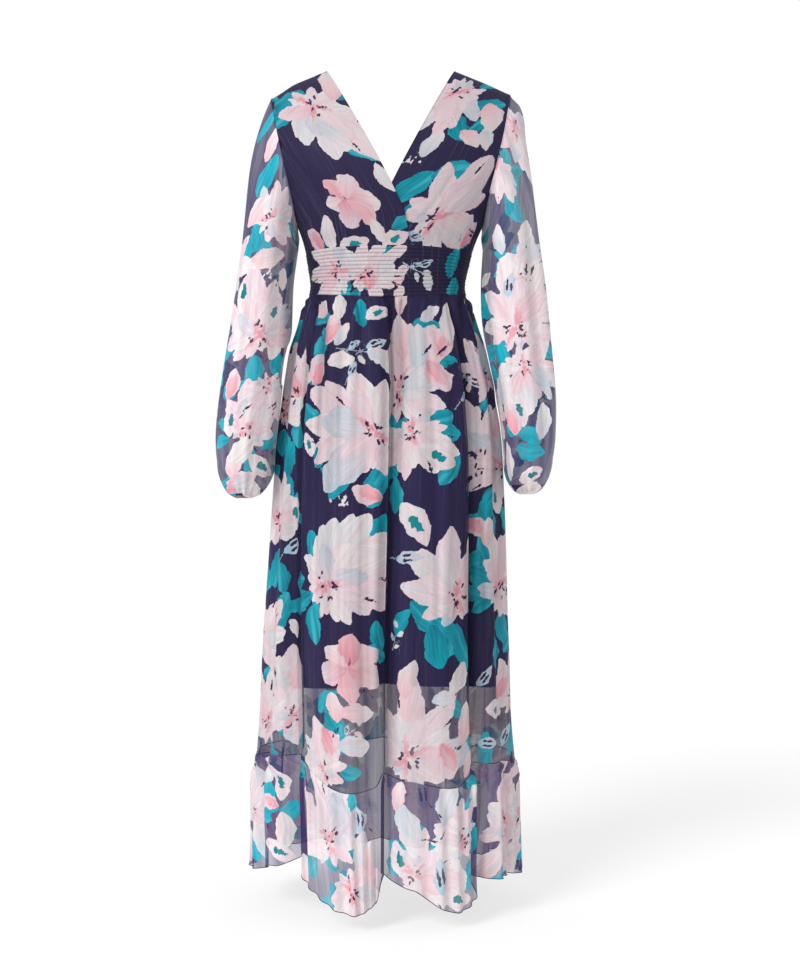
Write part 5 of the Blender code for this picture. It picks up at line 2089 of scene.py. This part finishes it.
@dataclass
class Sleeve(Panel):
    """A long full sleeve, from the armhole to its gathered wrist."""

    side: int = -1
    levels: tuple[SleeveLevel, ...] = RIGHT_SLEEVE
    head_share: float = 0.36
    pouch_share: float = 0.20
    pouch_start: float = 0.043
    pouch_height: float = 0.060
    pouch_turn: float = 74.0
    cap: float = 0.0
    head_room: float = 0.0008
    head_pull: float = 0.38
    head_falls: tuple[float, float] = (84.0, 68.0)
    wrist_gather: float = 0.0016
    head_gather: float = 0.0009
    slow_fold: float = 0.0022
    beside: tuple[Array, ...] = ()

    def settled(self, points: Array) -> Array:
        """Points of the sleeve, which rests against the skirt and doesn't pass into it."""
        return clear_of(points, self.beside, self.side)

    def backed(self) -> Array:
        """Share that the bodice's turned-in edge lies behind, which shows dark beside the armhole.

        Returns:
            The share at each point, by row and column.
        """
        steps = np.linalg.norm(np.diff(self.points, axis=0), axis=-1)
        from_seam = np.concatenate([np.zeros_like(steps[:1]), np.cumsum(steps, axis=0)])
        return 0.75 * (1 - smooth((from_seam - 0.0055) / 0.0030))

    def turns(self, across: Array) -> Array:
        """Angle of each column: 0 outside, 90 in front, 180 at the seam under the arm."""
        return mix(180, -180, across) if self.side > 0 else mix(-180, 180, across)

    def middle(self) -> int:
        """Column at the front of the sleeve."""
        return round(self.columns * (0.25 if self.side > 0 else 0.75))

    def ring(self, turn: Array) -> Array:
        """Points of the armhole at angles from the shoulder.

        Args:
            turn: the angles, in degrees.

        Returns:
            The points, with their three coordinates on the last axis.
        """
        heights = np.linspace(SHOULDER_Z, UNDERARM_Z, 60)
        edge = bodice_point(self.side * outer_edge(heights), heights, True)
        edge[0, 1] = edge[-1, 1] = 0.0
        length = np.concatenate([[0.0], np.cumsum(np.linalg.norm(np.diff(edge, axis=0), axis=-1))])
        z = np.interp(np.abs(turn), 180 * length / length[-1], heights)
        front = bodice_point(self.side * outer_edge(z), z, True)
        back = bodice_point(self.side * outer_edge(z), z, False)
        points = np.where((turn > 0)[..., None], front, back)
        ends = np.minimum(np.abs(turn), 180 - np.abs(turn)) < 1.5
        points[..., 1] = np.where(ends, 0.0, points[..., 1])
        return points

    def section(self, z: Array, turn: Array) -> Array:
        """Points of level sections below the armhole.

        Args:
            z: heights of the sections.
            turn: angles round them, in degrees.

        Returns:
            The points, with their three coordinates on the last axis.
        """
        outer = read(self.levels, "z", "outer", z, reach=0.020)
        inner = read(self.levels, "z", "inner", z, reach=0.020)
        depth = read(self.levels, "z", "half_depth", z, reach=0.012)
        y = read(self.levels, "z", "middle_y", z)
        radians = np.radians(turn)
        x = self.side * ((outer + inner) / 2 + (outer - inner) / 2 * np.cos(radians))
        return np.stack([x, y - depth * np.sin(radians), z + 0 * x], axis=-1)

    def surface(self, across: Array, down: Array) -> Array:
        """Points of the sleeve: a curved head from the armhole, then level sections.

        Args:
            across: shares across of its columns, from 0 to 1.
            down: shares down of its rows, from 0 to 1.

        Returns:
            The points, with their three coordinates on the last axis.
        """
        turn = self.turns(across) + 0 * down
        top_weight = (1 + np.cos(np.radians(turn))) / 2
        start = self.ring(turn)
        start[..., 0] += self.side * (self.head_room * top_weight)
        top_z = self.levels[0].z
        end = self.section(np.full_like(turn, top_z), turn)
        pull = (np.linalg.norm(start - end, axis=-1) * self.head_pull)[..., None]
        fall = np.radians(mix(*self.head_falls, top_weight))
        leave = np.stack([self.side * np.cos(fall), 0 * fall, -np.sin(fall)], axis=-1)
        slope = (self.levels[1].outer - self.levels[0].outer) / (self.levels[0].z - self.levels[1].z)
        arrive = np.array([self.side * slope, 0.0, -1.0])
        share = np.clip(down / self.head_share, 0.0, 1.0)[..., None]
        head = (
            (1 - share) ** 3 * start
            + 3 * share * (1 - share) ** 2 * (start + leave * pull)
            + 3 * share ** 2 * (1 - share) * (end - arrive * pull)
            + share ** 3 * end
        )
        under = SHOULDER_Z - head[..., 2]
        puff = self.cap * np.exp(-(((under - 0.030) / 0.035) ** 2)) * top_weight ** 2 * smooth(down / 0.025)
        head[..., 0] += self.side * puff
        below = np.clip((down - self.head_share) / (1 - self.head_share), 0.0, 1.0)
        last = self.levels[-1]
        hang = last.z + self.pouch_start
        straight = np.minimum(below / (1 - self.pouch_share), 1.0)
        body = self.section(mix(top_z, hang, straight) + 0 * turn, turn)
        rounded = np.clip(1 - (1 - below) / self.pouch_share, 0.0, 1.0)
        inward = np.radians(self.pouch_turn * rounded)
        outer = float(read(self.levels, "z", "outer", hang))
        inner = float(read(self.levels, "z", "inner", hang))
        middle = (self.side * (outer + inner) / 2, float(read(self.levels, "z", "middle_y", hang)))
        goal = (self.side * (last.outer + last.inner) / 2, last.middle_y)
        for axis in (0, 1):
            away = (body[..., axis] - middle[axis]) * np.cos(inward)
            curled = mix(middle[axis], goal[axis], rounded) + away
            body[..., axis] = np.where(rounded > 0, curled, body[..., axis])
        body[..., 2] -= self.pouch_height * np.sin(inward)
        return ease_shoulder(np.where((down <= self.head_share)[..., None], head, body))

    def relief(self, s: Array, t: Array, down: Array) -> Array:
        """Gathers that run up from the wrist, and slight ones at the sleeve's head.

        Args:
            s: distances across the cloth.
            t: distances down the cloth.
            down: shares down of the points.

        Returns:
            The rise at each point.
        """
        around = (s[:, -1] - s[:, 0])[:, None]
        turn = s / around * 2 * math.pi
        above_wrist = (1 - down) * 0.62
        pouch = np.sin(turn * 13 + 2.0 * np.sin(turn * 2)) + 0.6 * np.sin(turn * 21 + self.side)
        long = np.sin(turn * 4 + 1.1 + self.side * 0.7 + t * 2.2) + 0.7 * np.sin(turn * 7 + t * 3.1)
        wrist = self.wrist_gather * pouch * np.exp(-above_wrist / 0.050) * smooth(above_wrist / 0.022)
        head = self.head_gather * np.sin(turn * 17) * np.exp(-down / 0.05)
        return wrist + head + self.slow_fold * long * smooth(above_wrist / 0.10) * smooth(down / 0.2)


@dataclass
class Cuff(Panel):
    """Narrow elastic cuff."""

    side: int = -1
    levels: tuple[SleeveLevel, ...] = RIGHT_SLEEVE
    height: float = 0.010
    bulge: float = 0.0008
    pucker: float = 0.0007
    taper: float = 0.45

    def surface(self, across: Array, down: Array) -> Array:
        """Points of the cuff, puckered all round.

        Args:
            across: shares across of its columns, from 0 to 1.
            down: shares down of its rows, from 0 to 1.

        Returns:
            The points, with their three coordinates on the last axis.
        """
        radians = np.radians(mix(180, -180, across) if self.side > 0 else mix(-180, 180, across))
        last = self.levels[-1]
        arch = np.sin(down * math.pi)
        bulge = self.bulge * arch
        pucker = self.pucker * np.sin(radians * 34 + 1.3 * np.sin(radians * 5)) * arch
        tuck = 1 - self.taper * down
        half = ((last.outer - last.inner) / 2) * tuck + bulge + pucker
        x = self.side * ((last.outer + last.inner) / 2 + half * np.cos(radians))
        y = last.middle_y - (last.half_depth * tuck + bulge + pucker) * np.sin(radians)
        return np.stack([x, y, last.z - self.height * down + 0 * x], axis=-1)


class Bodice:
    """The wrap fronts and the back, with their rolled neck edges."""

    def __init__(self) -> None:
        """Cut the pieces."""
        self.right = BodiceFront(
            "bodice_front_right", BACKED, 84, 112, (0.27, 0.30), "gathered", ("waistband_front",), area=0.058,
            motifs=RIGHT_BODICE_PRINT, side=-1, edge=TOP_WRAP_EDGE, seed=21,
            trims=(
                Trim("neck_edge_right", Side.END, 0.0008), Trim("shoulder_seam_right", Side.TOP, 0.0007),
                Trim("bodice_side_seam_right", Side.START), Trim("waist_seam_right", Side.BOTTOM),
            ),
            creases=(
                Crease(-0.150, 0.060, -0.110, 0.262, -0.0022, 0.006),
                Crease(-0.110, 0.120, -0.075, 0.266, 0.0016, 0.007),
                Crease(-0.060, 0.100, -0.050, 0.268, -0.0018, 0.005),
                Crease(-0.020, 0.180, -0.030, 0.270, -0.0014, 0.004),
            ),
        )
        self.left = BodiceFront(
            "bodice_front_left", BACKED, 84, 112, (0.27, 0.30), "gathered", ("waistband_front",), area=0.058,
            motifs=LEFT_BODICE_PRINT, side=1, edge=UNDER_WRAP_EDGE, under=True, seed=22,
            trims=(
                Trim("neck_edge_left", Side.START, 0.0008, -8), Trim("shoulder_seam_left", Side.TOP, 0.0007),
                Trim("bodice_side_seam_left", Side.END), Trim("waist_seam_left", Side.BOTTOM),
            ),
            creases=(
                Crease(0.150, 0.070, 0.120, 0.262, -0.0022, 0.006),
                Crease(0.125, 0.110, 0.085, 0.266, 0.0016, 0.007),
                Crease(0.080, 0.130, 0.060, 0.268, -0.0016, 0.005),
            ),
        )
        self.back = BodiceBack(
            "bodice_back", BACKED, 150, 100, (0.42, 0.33), "gathered", ("waistband_back",), area=0.095,
            motifs=BACK_BODICE_PRINT, behind=True,
            trims=(Trim("neck_edge_back", Side.TOP, 0.0008), Trim("waist_seam_back", Side.BOTTOM)),
        )

    def build(self, effects: Effects) -> None:
        """Make the pieces."""
        for piece in (self.right, self.left, self.back):
            piece.make(effects)


class Skirt:
    """The waistband, skirt, lining and ruffle of one half, front or back."""

    def __init__(self, half: Half, fineness: float, prints: dict[str, tuple[Motif, ...]]) -> None:
        """Cut the pieces.

        Args:
            half: which half.
            fineness: share of the front's number of columns and rows.
            prints: motifs of the band, skirt and ruffle.
        """
        behind = not half.front
        pleats = FRONT_PLEATS if half.front else BACK_PLEATS
        ripples = FRONT_RIPPLES if half.front else BACK_RIPPLES
        name = half.name
        band = "waistband_" + name
        skirt = "skirt_" + name
        seams: dict[str, tuple[Trim, ...]] = {
            piece: (
                Trim(piece + "_side_seam_right", Side.START), Trim(piece + "_side_seam_left", Side.END),
            ) if half.front else ()
            for piece in ("waistband", "skirt", "ruffle")
        }
        self.band = Waistband(
            band, SHIRRED, 200, 104, (0.40, 0.08), "gathered", ("bodice_back",),
            motifs=prints["band"], behind=behind, half=half,
            trims=(Trim("band_seam_" + name, Side.BOTTOM, 0.0006), *seams["waistband"]),
        )
        self.skirt = SkirtPanel(
            skirt, CHIFFON, round(256 * fineness), round(250 * fineness), (0.72, 0.75), "gathered", (band,),
            area=0.49, motifs=prints["skirt"], side_motifs=SIDE_PRINT, behind=behind, pleats=pleats,
            ripples=ripples, half=half, seed=3 if half.front else 4,
            trims=(Trim("ruffle_seam_" + name, Side.BOTTOM, 0.0007), *seams["skirt"]),
        )
        self.lining = LiningPanel(
            "lining_" + name, LINING, 110, 100, (0.62, 0.62), "hung", (band,), area=0.31,
            behind=behind, half=half, tucks=pleats, trims=(Trim("lining_hem_" + name, Side.BOTTOM, 0.0005),),
        )
        self.ruffle = RufflePanel(
            "ruffle_" + name, RUFFLE_CHIFFON_LIT_THROUGH, round(340 * fineness), round(64 * fineness), (0.95, 0.18),
            "gathered", (skirt,), area=0.16, motifs=prints["ruffle"], side_motifs=HEM_SIDE_PRINT,
            behind=behind, pleats=pleats, half=half,
            seed=11 if half.front else 12,
            trims=(Trim("ruffle_hem_" + name, Side.BOTTOM, 0.0006, thread=ROLLED), *seams["ruffle"]),
        )

    def build(self, effects: Effects) -> None:
        """Make the pieces."""
        for piece in (self.band, self.skirt, self.lining, self.ruffle):
            piece.make(effects)


class Sleeves:
    """Both sleeves and their cuffs."""

    def __init__(self, beside: tuple[Array, ...]) -> None:
        """Cut the pieces.

        Args:
            beside: grids of the finished skirt's halves, which the sleeves rest against.
        """
        self.pieces: list[Panel] = []
        sides = (("right", -1, RIGHT_SLEEVE, RIGHT_SLEEVE_PRINT), ("left", 1, LEFT_SLEEVE, LEFT_SLEEVE_PRINT))
        for name, side, levels, pattern in sides:
            self.pieces.append(Sleeve(
                "sleeve_" + name, SLEEVE_CHIFFON_LIT_THROUGH, 112, 210, (0.40, 0.66), "hung", ("bodice_back",), area=0.20,
                motifs=pattern, closed=True, side=side, levels=levels, cap=0.0 if side < 0 else 0.0085,
                beside=beside,
                trims=(Trim("armhole_seam_" + name, Side.TOP, 0.0006),),
            ))
            self.pieces.append(Cuff(
                "cuff_" + name, CASING, 180, 8, (0.17, 0.012), "stretched", ("sleeve_" + name,),
                closed=True, side=side, levels=levels,
                trims=(Trim("wrist_edge_" + name, Side.BOTTOM, 0.0006),),
            ))

    def build(self, effects: Effects) -> None:
        """Make the pieces."""
        for piece in self.pieces:
            piece.make(effects)


@dataclass(frozen=True)
class Studio:
    """Plain pale floor, soft light and the camera."""

    camera_place: tuple[float, float, float] = (0.0148, -2.4, -0.6464)
    lens: float = 55.2
    floor_z: float = -1.30
    floor_size: float = 40.0
    fill: float = 0.62
    key_power: float = 2.10
    key_softness: float = 24.0
    key_turn: tuple[float, float, float] = (52.0, 0.0, -40.0)
    floor_colours: tuple[Colour, Colour] = ((0.34, 0.34, 0.34), (0.36, 0.36, 0.36))
    floor_glow: float = 0.66

    def build(self) -> None:
        """Set up the studio."""
        scene = bpy.context.scene
        scene.view_settings.view_transform = "Standard"
        self.build_floor()
        self.build_lights()
        camera = bpy.data.cameras.new("camera")
        camera.sensor_fit = "VERTICAL"
        camera.sensor_height = 36.0
        camera.lens = self.lens
        camera.clip_end = 50.0
        holder = new_object("camera", camera)
        holder.location = self.camera_place
        holder.rotation_euler = (math.pi / 2, 0.0, 0.0)
        scene.camera = holder

    def build_floor(self) -> None:
        """Lay the floor."""
        floor = bmesh.new()
        bmesh.ops.create_grid(floor, x_segments=2, y_segments=2, size=self.floor_size / 2)
        bmesh.ops.translate(floor, verts=floor.verts, vec=(0.0, 0.0, self.floor_z))
        mesh = bpy.data.meshes.new("floor")
        floor.to_mesh(mesh)
        floor.free()
        material = bpy.data.materials.new("pale_floor")
        material.use_nodes = True
        tree = Tree(material.node_tree)
        place = tree.add("ShaderNodeTexCoord").outputs["Object"]
        colour = tree.blend(tree.noise(place, 3.0), *map(rgba, self.floor_colours))
        shader = material.node_tree.nodes["Principled BSDF"]
        tree.link(colour, shader.inputs["Base Color"])
        shader.inputs["Roughness"].default_value = 0.9
        shader.inputs["Specular IOR Level"].default_value = 0.0
        shader.inputs["Emission Color"].default_value = (1.0, 1.0, 1.0, 1.0)
        shader.inputs["Emission Strength"].default_value = self.floor_glow
        mesh.materials.append(material)
        new_object("floor", mesh)

    def build_lights(self) -> None:
        """Light the dress evenly, a little more from the upper left."""
        world = bpy.data.worlds.new("studio")
        world.use_nodes = True
        tree = Tree(world.node_tree)
        background = world.node_tree.nodes["Background"]
        background.inputs["Color"].default_value = (1.0, 1.0, 1.0, 1.0)
        seen = tree.add("ShaderNodeLightPath").outputs["Is Camera Ray"]
        strength = tree.math("MULTIPLY_ADD", seen, 1.0 - self.fill, self.fill)
        tree.link(strength, background.inputs["Strength"])
        bpy.context.scene.world = world
        lamp = bpy.data.lights.new("key", "SUN")
        lamp.energy = self.key_power
        lamp.angle = math.radians(self.key_softness)
        new_object("key", lamp).rotation_euler = [math.radians(angle) for angle in self.key_turn]


def main() -> None:
    """Build the dress and the studio."""
    logging.basicConfig(level=logging.INFO, format="%(name)s: %(message)s")
    effects = Effects()
    Studio().build()
    Bodice().build(effects)
    back_prints = {
        "band": moved(BAND_PRINT, 0.01, 0.02, -0.35, -0.27),
        "skirt": moved(SKIRT_PRINT, 0.01, 0.30, -1.08, -0.35),
        "ruffle": moved(RUFFLE_PRINT, 0.02, 0.05, -1.27, -1.07),
    }
    front = Skirt(FRONT, 1.0, {"band": BAND_PRINT, "skirt": SKIRT_PRINT, "ruffle": RUFFLE_PRINT})
    front.build(effects)
    back = Skirt(BACK, 0.86, back_prints)
    back.build(effects)
    Sleeves((front.skirt.points, back.skirt.points)).build(effects)


if __name__ == "__main__":
    main()
